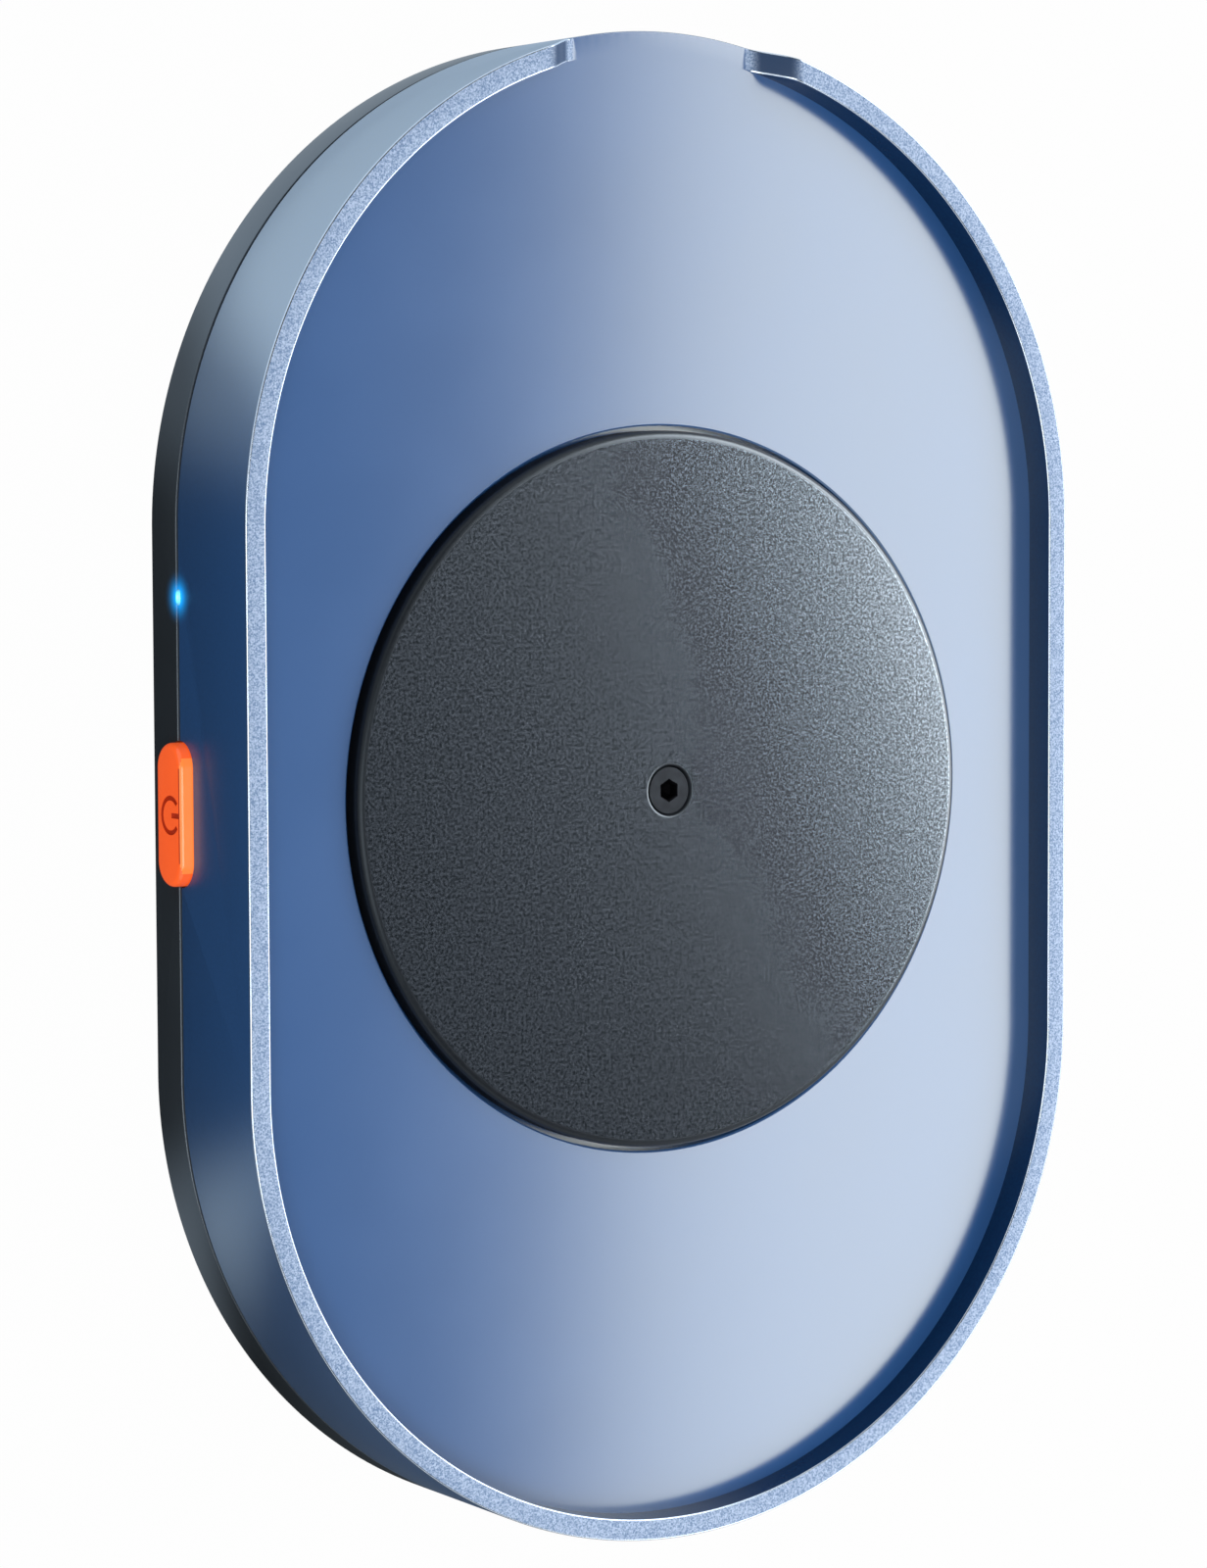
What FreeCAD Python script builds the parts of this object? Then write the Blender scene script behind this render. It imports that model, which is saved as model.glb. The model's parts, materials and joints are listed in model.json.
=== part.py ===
import FreeCAD, Part
import math
import os
import re

import Sketcher
from FreeCAD import Vector

# Mouse mover: a low aluminium tray on a black plastic base. A slow turntable disc lies in the
# tray floor, and a flat motor turns it through two pairs of gears hidden below the floor.
#
# Frame: +Z up, origin on the disc's axis, level with the underside of the feet. +Y points to the
# gap in the rim where the mouse's cable leaves, and the power button is on the -X side.

doc = FreeCAD.newDocument("mouse_mover")

# Driving dimensions, in millimetres and degrees.
driving = {
    # tray and base, outside
    "tray_width": 88.0,
    "tray_length": 135.5,
    "rim_width": 1.95,
    "rim_height": 3.0,
    "rim_edge": 0.2,
    "skirt_height": 9.3,
    "base_height": 5.6,
    "base_edge": 0.8,
    "foot_stand": 0.6,
    "cable_gap": 18.5,
    "cable_ramp": 4.2,
    # tray and base, walls
    "floor_thickness": 2.0,
    "skirt_wall": 2.2,
    "base_wall": 3.2,
    "base_floor": 1.8,
    "lip_height": 1.3,
    "lip_clearance": 0.1,
    "rib_height": 0.9,
    "rib_width": 1.2,
    "rib_low_y": -9.0,
    "rib_high_y": 14.0,
    # turntable disc and its seat in the tray floor
    "disc_radius": 32.3,
    "disc_proud": 1.15,
    "disc_edge": 0.7,
    "disc_gap": 0.45,
    "disc_lift": 0.4,
    "disc_skin": 1.3,
    "disc_rim": 1.8,
    "disc_rib_width": 1.2,
    "disc_ribs": 8,
    "hub_radius": 7.5,
    "recess_depth": 1.6,
    "web_thickness": 1.6,
    # spindle, bush and washer
    "spindle_radius": 2.5,
    "spindle_head_radius": 4.0,
    "spindle_head_height": 0.9,
    "spindle_flat": 3.0,
    "seat_radius": 2.0,
    "seat_flat": 1.5,
    "pivot_radius": 1.25,
    "bush_wall": 1.0,
    "bush_reach": 2.2,
    "washer_radius": 6.5,
    "washer_thickness": 0.35,
    "running_clearance": 0.03,
    "drive_clearance": 0.08,
    # screw in the middle of the disc
    "disc_screw_head": 2.2,
    "disc_screw_shank": 1.25,
    "disc_screw_length": 5.6,
    "disc_screw_socket": 1.65,
    "disc_screw_sunk": 0.1,
    # gears
    "gear_module": 0.5,
    "root_depth": 1.25,
    "pressure_angle": 20.0,
    "tooth_backlash": 0.06,
    "output_teeth": 60,
    "idler_pinion_teeth": 12,
    "idler_teeth": 50,
    "motor_teeth": 10,
    "idler_direction": -75.0,
    "motor_direction": -30.0,
    "upper_gear_width": 1.8,
    "lower_gear_width": 2.0,
    "gear_spacing": 0.4,
    "gear_headroom": 0.5,
    "collar_radius": 2.1,
    "collar_height": 0.5,
    "thrust_gap": 0.1,
    "idler_pin_radius": 1.0,
    "pin_seat": 0.9,
    "gear_web": 0.7,
    "gear_rim": 1.6,
    "idler_windows": 5,
    "window_radius": 2.6,
    "window_circle": 7.0,
    # steel plate under the gears
    "plate_thickness": 1.2,
    "plate_margin": 3.6,
    "plate_corner": 2.9,
    "plate_screw_x": 14.0,
    "plate_screw_y": 14.0,
    "plate_low_x": 4.0,
    "plate_low_y": -35.0,
    # motor
    "motor_radius": 10.0,
    "motor_height": 6.8,
    "motor_edge": 0.5,
    "motor_boss_radius": 3.0,
    "motor_boss_height": 0.35,
    "motor_shaft_radius": 0.75,
    "ear_offset": 3.0,
    "ear_radius": 2.8,
    "ear_thickness": 0.8,
    "terminal_width": 8.0,
    "terminal_depth": 2.6,
    "terminal_height": 3.6,
    # screws and posts
    "post_radius": 2.5,
    "case_post_radius": 3.8,
    "case_screw_depth": 7.0,
    "case_screw_head": 2.4,
    "case_screw_head_height": 1.5,
    "case_screw_shank": 1.25,
    "small_screw_head": 1.9,
    "small_screw_head_height": 1.0,
    "small_screw_shank": 0.9,
    "small_screw_depth": 4.0,
    "ear_screw_depth": 2.0,
    "screw_clearance": 0.2,
    "drive_arm": 0.55,
    "drive_bar": 0.13,
    "drive_depth": 0.6,
    # rubber feet, one below each case screw
    "foot_radius": 5.0,
    "foot_sink": 1.0,
    "foot_edge": 0.3,
    "foot_fit": 0.15,
    "foot_inset_x": 16.5,
    "foot_inset_y": 25.75,
    # circuit board and what it carries
    "board_thickness": 1.0,
    "board_strip": 12.0,
    "board_low": -13.0,
    "board_bar": 9.0,
    "board_clear": 2.2,
    "board_right": 8.0,
    "board_tab": 16.0,
    "board_setback": 1.2,
    "board_corner": 1.0,
    "board_hole": 1.1,
    "stake_head": 1.7,
    "stake_height": 0.5,
    "usb_width": 8.94,
    "usb_height": 3.26,
    "usb_depth": 7.3,
    "usb_wall": 0.3,
    "usb_inset": 0.5,
    "usb_clearance": 0.25,
    "usb_tongue_width": 6.2,
    "usb_tongue_height": 0.7,
    "chip_size": 5.0,
    "chip_height": 1.1,
    "plug_width": 7.6,
    "plug_depth": 4.2,
    "plug_height": 3.4,
    # power button, its switch and the light
    "button_y": -0.8,
    "button_length": 12.5,
    "button_height": 4.5,
    "button_proud": 1.2,
    "button_edge": 0.5,
    "button_gap": 0.15,
    "button_travel": 0.4,
    "button_flange": 0.9,
    "flange_thickness": 0.8,
    "flange_play": 0.1,
    "switch_play": 0.05,
    "switch_width": 7.0,
    "switch_depth": 3.6,
    "switch_height": 3.2,
    "plunger_length": 1.6,
    "plunger_width": 2.4,
    "plunger_height": 1.3,
    "plunger_clearance": 0.1,
    "plunger_sink": 1.0,
    "light_y": 18.0,
    "light_length": 1.5,
    "light_height": 0.75,
    "light_block_width": 3.4,
    "light_block_height": 2.6,
    "light_block_depth": 3.6,
    "led_width": 3.0,
    "led_depth": 1.3,
    "led_height": 1.9,
    # flat motor lead, standing on edge
    "lead_count": 4,
    "lead_pitch": 0.8,
    "lead_thickness": 0.9,
    "lead_reach": 4.0,
    "lead_bend": 3.0,
}
sheet = doc.addObject("Spreadsheet::Sheet", "Sizes")
for row, (alias, number) in enumerate(driving.items(), start=1):
    sheet.set(f"A{row}", alias)
    sheet.set(f"B{row}", str(number))
    sheet.setAlias(f"B{row}", alias)
doc.recompute()
near = 1e-4


def cells(size):
    """Expression text with the sheet's name before each alias; every alias has an underscore."""
    return re.sub(r"\b([a-z]+_\w+)\b", r"Sizes.\1", size)


def value(size):
    return float(sheet.evalExpression(cells(size)))


# Heights above the surface that the feet stand on.
parting = "(foot_stand + base_height)"
floor_top = f"({parting} + skirt_height)"
rim_top = f"({floor_top} + rim_height)"
ceiling = f"({floor_top} - floor_thickness)"
recess_floor = f"({floor_top} - recess_depth)"
web_under = f"({recess_floor} - web_thickness)"
disc_under = f"({recess_floor} + disc_lift)"
disc_top = f"({floor_top} + disc_proud)"
upper_top = f"({web_under} - gear_headroom)"
upper_under = f"({upper_top} - upper_gear_width)"
lower_top = f"({upper_under} - gear_spacing)"
lower_under = f"({lower_top} - lower_gear_width)"
plate_top = f"({lower_under} - collar_height - thrust_gap)"
plate_under = f"({plate_top} - plate_thickness)"
motor_top = f"({upper_under} - gear_spacing - motor_boss_height)"
base_inside = "(foot_stand + base_floor)"
board_top = f"({parting} - usb_height / 2)"
board_under = f"({board_top} - board_thickness)"
lead_level = f"({board_top} + plug_height / 2)"
case_seat = "(foot_stand + foot_sink + case_screw_head_height + screw_clearance / 2)"

# Places in plan.
recess_radius = "(disc_radius + disc_gap)"
output_centres = "(gear_module * (output_teeth + idler_pinion_teeth) / 2)"
motor_centres = "(gear_module * (idler_teeth + motor_teeth) / 2)"
idler_x = f"({output_centres} * cos(idler_direction))"
idler_y = f"({output_centres} * sin(idler_direction))"
motor_x = f"({idler_x} + {motor_centres} * cos(motor_direction))"
motor_y = f"({idler_y} + {motor_centres} * sin(motor_direction))"
side = "(tray_width / 2)"
end = "(tray_length / 2)"
foot_x = f"({side} - foot_inset_x)"
foot_y = f"({end} - foot_inset_y)"
board_left = f"({side} - skirt_wall - light_block_depth)"
board_edge = f"({board_left} - board_strip)"
board_end = f"({end} - base_wall - board_setback)"
board_back = f"({foot_y} - case_post_radius - board_clear)"
board_turn = f"({board_back} - board_bar)"
flange_face = f"(-{side} + skirt_wall + flange_play)"
flange_back = f"({flange_face} + flange_thickness)"
plunger_tip = f"({flange_back} + switch_play)"
switch_front = f"({plunger_tip} + plunger_length)"

corners = [(1, 1), (-1, 1), (-1, -1), (1, -1)]
foot_places = [(f"{i} * {foot_x}", f"{j} * {foot_y}") for i, j in corners]
plate_places = [
    ("plate_screw_x", "plate_screw_y"),
    ("-plate_screw_x", "plate_screw_y"),
    ("plate_low_x", "plate_low_y"),
]
ear_reach = [
    (f"(motor_radius + ear_offset) * cos(motor_direction + {turn})",
     f"(motor_radius + ear_offset) * sin(motor_direction + {turn})")
    for turn in (90, 270)
]
ear_places = [(f"{motor_x} + {x}", f"{motor_y} + {y}") for x, y in ear_reach]
strip_middle = f"(-{board_left} + board_strip / 2)"
tab_middle = "(board_right - board_tab / 2)"
board_places = [
    (strip_middle, "board_low + board_strip / 4"),
    (strip_middle, f"{board_turn} + board_bar / 4"),
    (tab_middle, board_back),
]


# Sketching ------------------------------------------------------------------------------------


def origin_feature(body, role):
    return [part for part in body.Origin.OriginFeatures if part.Role == role][0]


def new_body(label):
    body = doc.addObject("PartDesign::Body", label)
    body.Label = label
    return body


def place_body(body, x, y, z):
    for axis, size in zip("xyz", (x, y, z)):
        body.setExpression(f"Placement.Base.{axis}", cells(size))


def sketch_on(body, role, offset):
    """A sketch on one of the body's own planes, moved along that plane's normal."""
    sketch = body.newObject("Sketcher::SketchObject", f"{body.Name}_sketch")
    sketch.AttachmentSupport = [(origin_feature(body, role), "")]
    sketch.MapMode = "FlatFace"
    sketch.setExpression("AttachmentOffset.Base.z", cells(offset))
    return sketch


def bind(sketch, kind, where, size):
    index = sketch.addConstraint(Sketcher.Constraint(kind, *where, value(size)))
    sketch.setExpression(f"Constraints[{index}]", cells(size))


def pin(sketch, edge, point, x, y):
    bind(sketch, "DistanceX", (-1, 1, edge, point), x)
    bind(sketch, "DistanceY", (-1, 1, edge, point), y)


def circle(sketch, radius, x="0", y="0"):
    middle = Vector(value(x), value(y), 0)
    edge = sketch.addGeometry(Part.Circle(middle, Vector(0, 0, 1), value(radius)))
    bind(sketch, "Radius", (edge,), radius)
    pin(sketch, edge, 3, x, y)


def polygon(sketch, points):
    """A closed outline of straight edges, each corner tied to the sizes."""
    spots = [Vector(value(x), value(y), 0) for x, y in points]
    edges = [sketch.addGeometry(Part.LineSegment(*ends)) for ends in zip(spots, spots[1:] + spots[:1])]
    for before, after in zip(edges, edges[1:] + edges[:1]):
        sketch.addConstraint(Sketcher.Constraint("Coincident", before, 2, after, 1))
    for edge, (x, y) in zip(edges, points):
        pin(sketch, edge, 1, x, y)


def rectangle(sketch, x_low, x_high, y_low, y_high):
    polygon(sketch, [(x_low, y_low), (x_high, y_low), (x_high, y_high), (x_low, y_high)])


def slot(sketch, width, length, x="0", y="0", upright=True):
    """A rectangle with half-round ends, long in the sketch's Y, or in its X if not upright."""
    reach = f"(({length}) - ({width})) / 2"
    if upright:
        middles = [(x, f"{y} + {reach}"), (x, f"{y} - {reach}")]
        start = 0
    else:
        middles = [(f"{x} - {reach}", y), (f"{x} + {reach}", y)]
        start = math.pi / 2
    radius = value(f"({width}) / 2")
    arcs = []
    for turn, (mx, my) in enumerate(middles):
        ring = Part.Circle(Vector(value(mx), value(my), 0), Vector(0, 0, 1), radius)
        first = start + turn * math.pi
        arcs.append(sketch.addGeometry(Part.ArcOfCircle(ring, first, first + math.pi)))
    ends = [sketch.Geometry[arc] for arc in arcs]
    left = sketch.addGeometry(Part.LineSegment(ends[0].EndPoint, ends[1].StartPoint))
    right = sketch.addGeometry(Part.LineSegment(ends[1].EndPoint, ends[0].StartPoint))
    for a, pa, b, pb in ((arcs[0], 2, left, 1), (left, 2, arcs[1], 1),
                         (arcs[1], 2, right, 1), (right, 2, arcs[0], 1)):
        sketch.addConstraint(Sketcher.Constraint("Tangent", a, pa, b, pb))
    for arc, (mx, my) in zip(arcs, middles):
        bind(sketch, "Radius", (arc,), f"({width}) / 2")
        pin(sketch, arc, 3, mx, my)


# Features -------------------------------------------------------------------------------------


def feature(kind, sketch, size, backwards):
    body = sketch.getParentGeoFeatureGroup()
    made = body.newObject(f"PartDesign::{kind}", f"{body.Name}_{kind.lower()}")
    made.Profile = sketch
    made.setExpression("Length", cells(size))
    made.Reversed = backwards
    return made


def pad(sketch, length, backwards=False):
    return feature("Pad", sketch, length, backwards)


def pocket(sketch, depth, backwards=False):
    return feature("Pocket", sketch, depth, backwards)


def turned(kind, sketch):
    """A full turn of the sketch about its own upright axis."""
    body = sketch.getParentGeoFeatureGroup()
    made = body.newObject(f"PartDesign::{kind}", f"{body.Name}_{kind.lower()}")
    made.Profile = sketch
    made.ReferenceAxis = (sketch, ["V_Axis"])
    made.Angle = 360
    return made


def revolve(body, points):
    """A solid of revolution about the body's Z axis, from (radius, height) points."""
    sketch = sketch_on(body, "XZ_Plane", "0")
    polygon(sketch, points)
    return turned("Revolution", sketch)


def around(original, count):
    """Copies of one feature, evenly spaced about the body's Z axis."""
    body = original.getParentGeoFeatureGroup()
    made = body.newObject("PartDesign::PolarPattern", f"{body.Name}_pattern")
    made.Originals = [original]
    made.Axis = (origin_feature(body, "Z_Axis"), [""])
    made.Angle = 360
    made.setExpression("Occurrences", cells(count))
    body.Tip = made
    return made


def ease(kind, base, size, wanted):
    """A fillet or chamfer on every edge of base that wanted picks."""
    doc.recompute()
    body = base.getParentGeoFeatureGroup()
    names = [f"Edge{i}" for i, edge in enumerate(base.Shape.Edges, start=1) if wanted(edge)]
    made = body.newObject(f"PartDesign::{kind}", f"{body.Name}_{kind.lower()}")
    made.Base = (base, names)
    made.setExpression("Radius" if kind == "Fillet" else "Size", cells(size))
    return made


def at_height(size):
    """Picks the edges that lie wholly at one height."""
    height = value(size)

    def wanted(edge):
        box = edge.BoundBox
        return max(abs(box.ZMin - height), abs(box.ZMax - height)) < near

    return wanted


def upright(edge):
    box = edge.BoundBox
    return max(box.XLength, box.YLength) < near


def posts(body, places, radius, low, high):
    sketch = sketch_on(body, "XY_Plane", low)
    for x, y in places:
        circle(sketch, radius, x, y)
    return pad(sketch, f"{high} - {low}")


def bores(body, places, radius, low, high):
    sketch = sketch_on(body, "XY_Plane", low)
    for x, y in places:
        circle(sketch, radius, x, y)
    return pocket(sketch, f"{high} - {low}", backwards=True)


def block(body, x_low, x_high, y_low, y_high, low, high):
    sketch = sketch_on(body, "XY_Plane", low)
    rectangle(sketch, x_low, x_high, y_low, y_high)
    return pad(sketch, f"({high}) - ({low})")


def bay(body, x_low, x_high, y_low, y_high, low, high):
    sketch = sketch_on(body, "XY_Plane", low)
    rectangle(sketch, x_low, x_high, y_low, y_high)
    return pocket(sketch, f"({high}) - ({low})", backwards=True)


def group(label, body, places, height):
    """One node of several equal, separate solids."""
    links = []
    for x, y in places:
        link = doc.addObject("App::Link", f"{label}_copy")
        link.LinkedObject = body
        place_body(link, x, y, height)
        links.append(link)
    whole = doc.addObject("Part::Compound", label)
    whole.Label = label
    whole.Links = links
    return whole


# Gears ----------------------------------------------------------------------------------------


def involute(angle):
    return math.tan(angle) - angle


def gear(body, teeth, low, width, tooth_at):
    """A spur gear on the body's axis, with one tooth pointing at tooth_at.

    The flanks follow the involute in straight steps: root, base circle, pitch circle, tip.
    """
    count = value(teeth)
    module = value("gear_module")
    pressure = math.radians(value("pressure_angle"))
    pitch = module * count / 2
    base = pitch * math.cos(pressure)
    root = pitch - value("root_depth") * module
    thinned = value("tooth_backlash") / (4 * pitch)

    def half_tooth(radius):
        rolled = math.acos(base / max(radius, base))
        return math.pi / (2 * count) + involute(pressure) - involute(rolled) - thinned

    radii = sorted({root, max(base, root), pitch, pitch + module})
    flank = [(radius, half_tooth(radius)) for radius in radii]
    tooth = [(radius, -angle) for radius, angle in flank] + flank[::-1]
    turns = [math.radians(value(f"({tooth_at}) + 360 * {k} / ({teeth})")) for k in range(int(count))]
    spots = [Vector(r * math.cos(turn + a), r * math.sin(turn + a), 0) for turn in turns for r, a in tooth]
    sketch = sketch_on(body, "XY_Plane", low)
    for start, stop in zip(spots, spots[1:] + spots[:1]):
        sketch.addGeometry(Part.LineSegment(start, stop))
    return pad(sketch, width)


# Tray and base --------------------------------------------------------------------------------


def make_tray_shell():
    body = new_body("tray_shell")
    outside = sketch_on(body, "XY_Plane", parting)
    slot(outside, "tray_width", "tray_length")
    pad(outside, "skirt_height + rim_height")
    dish = sketch_on(body, "XY_Plane", rim_top)
    slot(dish, "tray_width - 2 * rim_width", "tray_length - 2 * rim_width")
    pocket(dish, "rim_height")
    hollow = sketch_on(body, "XY_Plane", parting)
    slot(hollow, "tray_width - 2 * skirt_wall", "tray_length - 2 * skirt_wall")
    pocket(hollow, "skirt_height - floor_thickness", backwards=True)
    cut_cable_gap(body)
    rim = body.Tip
    ease("Chamfer", rim, "rim_edge", at_height(rim_top))
    # thicker web under the disc, with the turned recess and the bush's hole
    posts(body, [("0", "0")], f"{recess_radius} + web_thickness", web_under, ceiling)
    bores(body, [("0", "0")], recess_radius, recess_floor, floor_top)
    bores(body, [("0", "0")], "spindle_radius + running_clearance + bush_wall", web_under, recess_floor)
    # posts for the case screws, the gear plate and the motor's ears
    posts(body, foot_places, "case_post_radius", parting, ceiling)
    posts(body, plate_places, "post_radius", plate_top, ceiling)
    posts(body, ear_places, "post_radius", motor_top, ceiling)
    bores(body, foot_places, "case_screw_shank", parting, f"({parting} + case_screw_depth)")
    bores(body, plate_places, "small_screw_shank", plate_top, f"({plate_top} + small_screw_depth)")
    bores(body, ear_places, "small_screw_shank", motor_top, f"({motor_top} + ear_screw_depth)")
    bores(body, [(idler_x, idler_y)], "idler_pin_radius", web_under, f"({web_under} + pin_seat)")
    cut_side_openings(body)
    return body


def cut_cable_gap(body):
    """The gap in the rim for the mouse's cable: each end of the rim runs down an S-shaped ramp."""
    sketch = sketch_on(body, "XZ_Plane", f"-({end} - 2 * cable_gap)")
    foot = value("cable_gap / 2")
    width = value("cable_ramp")
    low = value(floor_top)
    rise = value("rim_height")
    bend = (width ** 2 + rise ** 2) / (4 * rise)
    swing = math.asin(width / 2 / bend)
    half = math.sin(swing / 2), math.cos(swing / 2)
    for hand in (1, -1):
        bottom = Vector(hand * foot, low, 0)
        middle = Vector(hand * (foot + width / 2), low + rise / 2, 0)
        top = Vector(hand * (foot + width), low + rise, 0)
        dip = Vector(hand * (foot + bend * half[0]), low + bend - bend * half[1], 0)
        crown = Vector(hand * (foot + width - bend * half[0]), low + rise - bend + bend * half[1], 0)
        sketch.addGeometry(Part.Arc(bottom, dip, middle))
        sketch.addGeometry(Part.Arc(middle, crown, top))
        sketch.addGeometry(Part.LineSegment(top, top + Vector(0, rise, 0)))
    over = Vector(foot + width, low + 2 * rise, 0)
    sketch.addGeometry(Part.LineSegment(over, Vector(-over.x, over.y, 0)))
    sketch.addGeometry(Part.LineSegment(Vector(foot, low, 0), Vector(-foot, low, 0)))
    return pocket(sketch, "3 * cable_gap")


def cut_side_openings(body):
    """Half of each opening for the button, the light and the USB socket is in the tray, half in
    the base: all three are centred on the parting line."""
    through_side = f"-({side} - base_wall)"
    for width, length, y in (
        ("button_height + 2 * button_gap", "button_length + 2 * button_gap", "button_y"),
        ("light_height", "light_length", "light_y"),
    ):
        sketch = sketch_on(body, "YZ_Plane", through_side)
        slot(sketch, width, length, y, parting, upright=False)
        pocket(sketch, "2 * base_wall")
    mouth = sketch_on(body, "XZ_Plane", f"-({end} - 2 * base_wall)")
    around_it = "2 * usb_clearance"
    slot(mouth, f"usb_height + {around_it}", f"usb_width + {around_it}", "0", parting, upright=False)
    pocket(mouth, "3 * base_wall")


def make_base_shell():
    body = new_body("base_shell")
    outside = sketch_on(body, "XY_Plane", "foot_stand")
    slot(outside, "tray_width", "tray_length")
    shell = pad(outside, "base_height")
    ease("Chamfer", shell, "base_edge", at_height("foot_stand"))
    hollow = sketch_on(body, "XY_Plane", base_inside)
    slot(hollow, "tray_width - 2 * base_wall", "tray_length - 2 * base_wall")
    pocket(hollow, f"{parting} - {base_inside}", backwards=True)
    # lip that stands up inside the tray's skirt
    lip = sketch_on(body, "XY_Plane", parting)
    inset = "2 * (skirt_wall + lip_clearance)"
    slot(lip, f"tray_width - {inset}", f"tray_length - {inset}")
    slot(lip, "tray_width - 2 * base_wall", "tray_length - 2 * base_wall")
    pad(lip, "lip_height")
    # stiffening ribs across the floor
    wall_to_wall = f"({side} - base_wall)"
    for y, reach in ((f"-{foot_y}", foot_x), ("rib_low_y", wall_to_wall),
                     ("rib_high_y", wall_to_wall), (foot_y, foot_x)):
        block(body, f"-{reach}", reach, f"{y} - rib_width / 2", f"{y} + rib_width / 2",
              base_inside, f"({base_inside} + rib_height)")
    # case posts, with the screws' heads sunk above the feet
    posts(body, foot_places, "case_post_radius", base_inside, parting)
    bores(body, foot_places, "case_screw_shank + screw_clearance", "foot_stand", parting)
    bores(body, foot_places, "case_screw_head + screw_clearance", "foot_stand", case_seat)
    bores(body, foot_places, "foot_radius + foot_fit", "foot_stand", "(foot_stand + foot_sink)")
    # posts under the board, whose pins are melted over it
    posts(body, board_places, "post_radius", base_inside, board_under)
    posts(body, board_places, "board_hole - drive_clearance", board_under, board_top)
    posts(body, board_places, "stake_head", board_top, f"({board_top} + stake_height)")
    # room behind the button, the light and the socket
    above = f"({parting} + 2 * lip_height)"
    inner = f"-({side} - skirt_wall)"
    behind = f"-({side} - 2 * base_wall)"
    half_button = "(button_length / 2 + button_flange + 2 * button_gap)"
    bay(body, inner, behind, f"button_y - {half_button}", f"button_y + {half_button}",
        f"({parting} - button_height / 2 - button_flange - 2 * button_gap)", above)
    half_light = "(light_block_width / 2)"
    bay(body, inner, behind, f"light_y - {half_light}", f"light_y + {half_light}",
        f"({parting} - light_block_height / 2)", above)
    half_socket = "(usb_width / 2 + usb_clearance)"
    bay(body, f"-{half_socket}", half_socket, f"{end} - 2 * base_wall", f"{end} - skirt_wall",
        board_under, above)
    cut_side_openings(body)
    return body


def make_rubber_feet():
    pad_body = new_body("foot")
    revolve(pad_body, [("0", "0"), ("foot_radius - foot_edge", "0"), ("foot_radius", "foot_edge"),
                       ("foot_radius", "foot_stand + foot_sink"), ("0", "foot_stand + foot_sink")])
    return group("rubber_feet", pad_body, foot_places, "0")


def headed_screw(label, head, head_height, shank, length):
    """A screw with a flat cylinder head, head down, its seat at height 0, and a cross-shaped drive."""
    body = new_body(label)
    revolve(body, [("0", f"-{head_height}"), (head, f"-{head_height}"), (head, "0"),
                   (shank, "0"), (shank, length), ("0", length)])
    cross = sketch_on(body, "XY_Plane", f"-{head_height}")
    arm = f"({head} * drive_arm)"
    bar = f"({head} * drive_bar)"
    quarter = [(bar, bar), (bar, arm), (f"-{bar}", arm)]
    half = quarter + [(f"-{bar}", bar), (f"-{arm}", bar), (f"-{arm}", f"-{bar}")]
    polygon(cross, half + [(minus(x), minus(y)) for x, y in half])
    pocket(cross, f"{head_height} * drive_depth", backwards=True)
    return body


def minus(size):
    return size[1:] if size.startswith("-") else f"-{size}"


# Turntable ------------------------------------------------------------------------------------


def make_turntable_disc():
    body = new_body("turntable_disc")
    face = sketch_on(body, "XY_Plane", disc_under)
    circle(face, "disc_radius")
    plain = pad(face, f"{disc_top} - {disc_under}")
    ease("Fillet", plain, "disc_edge", at_height(disc_top))
    # hollow underside with a hub, a rim and spokes
    ring = sketch_on(body, "XY_Plane", disc_under)
    circle(ring, "disc_radius - disc_rim")
    circle(ring, "hub_radius")
    pocket(ring, f"{disc_top} - {disc_under} - disc_skin", backwards=True)
    spoke = sketch_on(body, "XY_Plane", disc_under)
    rectangle(spoke, "hub_radius - disc_rim / 2", "disc_radius - disc_rim / 2",
              "-disc_rib_width / 2", "disc_rib_width / 2")
    around(pad(spoke, f"{disc_top} - {disc_under} - disc_skin"), "disc_ribs")
    # seat of the spindle's two-flat head
    seat = sketch_on(body, "XY_Plane", disc_under)
    two_flats(seat, "spindle_head_radius + drive_clearance", "spindle_flat + drive_clearance")
    pocket(seat, "spindle_head_height", backwards=True)
    # countersink for the screw
    sink = sketch_on(body, "XZ_Plane", "0")
    wide = "(disc_screw_head + screw_clearance / 2)"
    narrow = "(disc_screw_shank + screw_clearance / 2)"
    low = f"({disc_top} - disc_screw_sunk - ({wide} - {narrow}))"
    polygon(sink, [("0", disc_under), (narrow, disc_under), (narrow, low),
                   (wide, f"{disc_top} - disc_screw_sunk"), (wide, f"{disc_top} + disc_proud"),
                   ("0", f"{disc_top} + disc_proud")])
    turned("Groove", sink)
    return body


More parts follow.
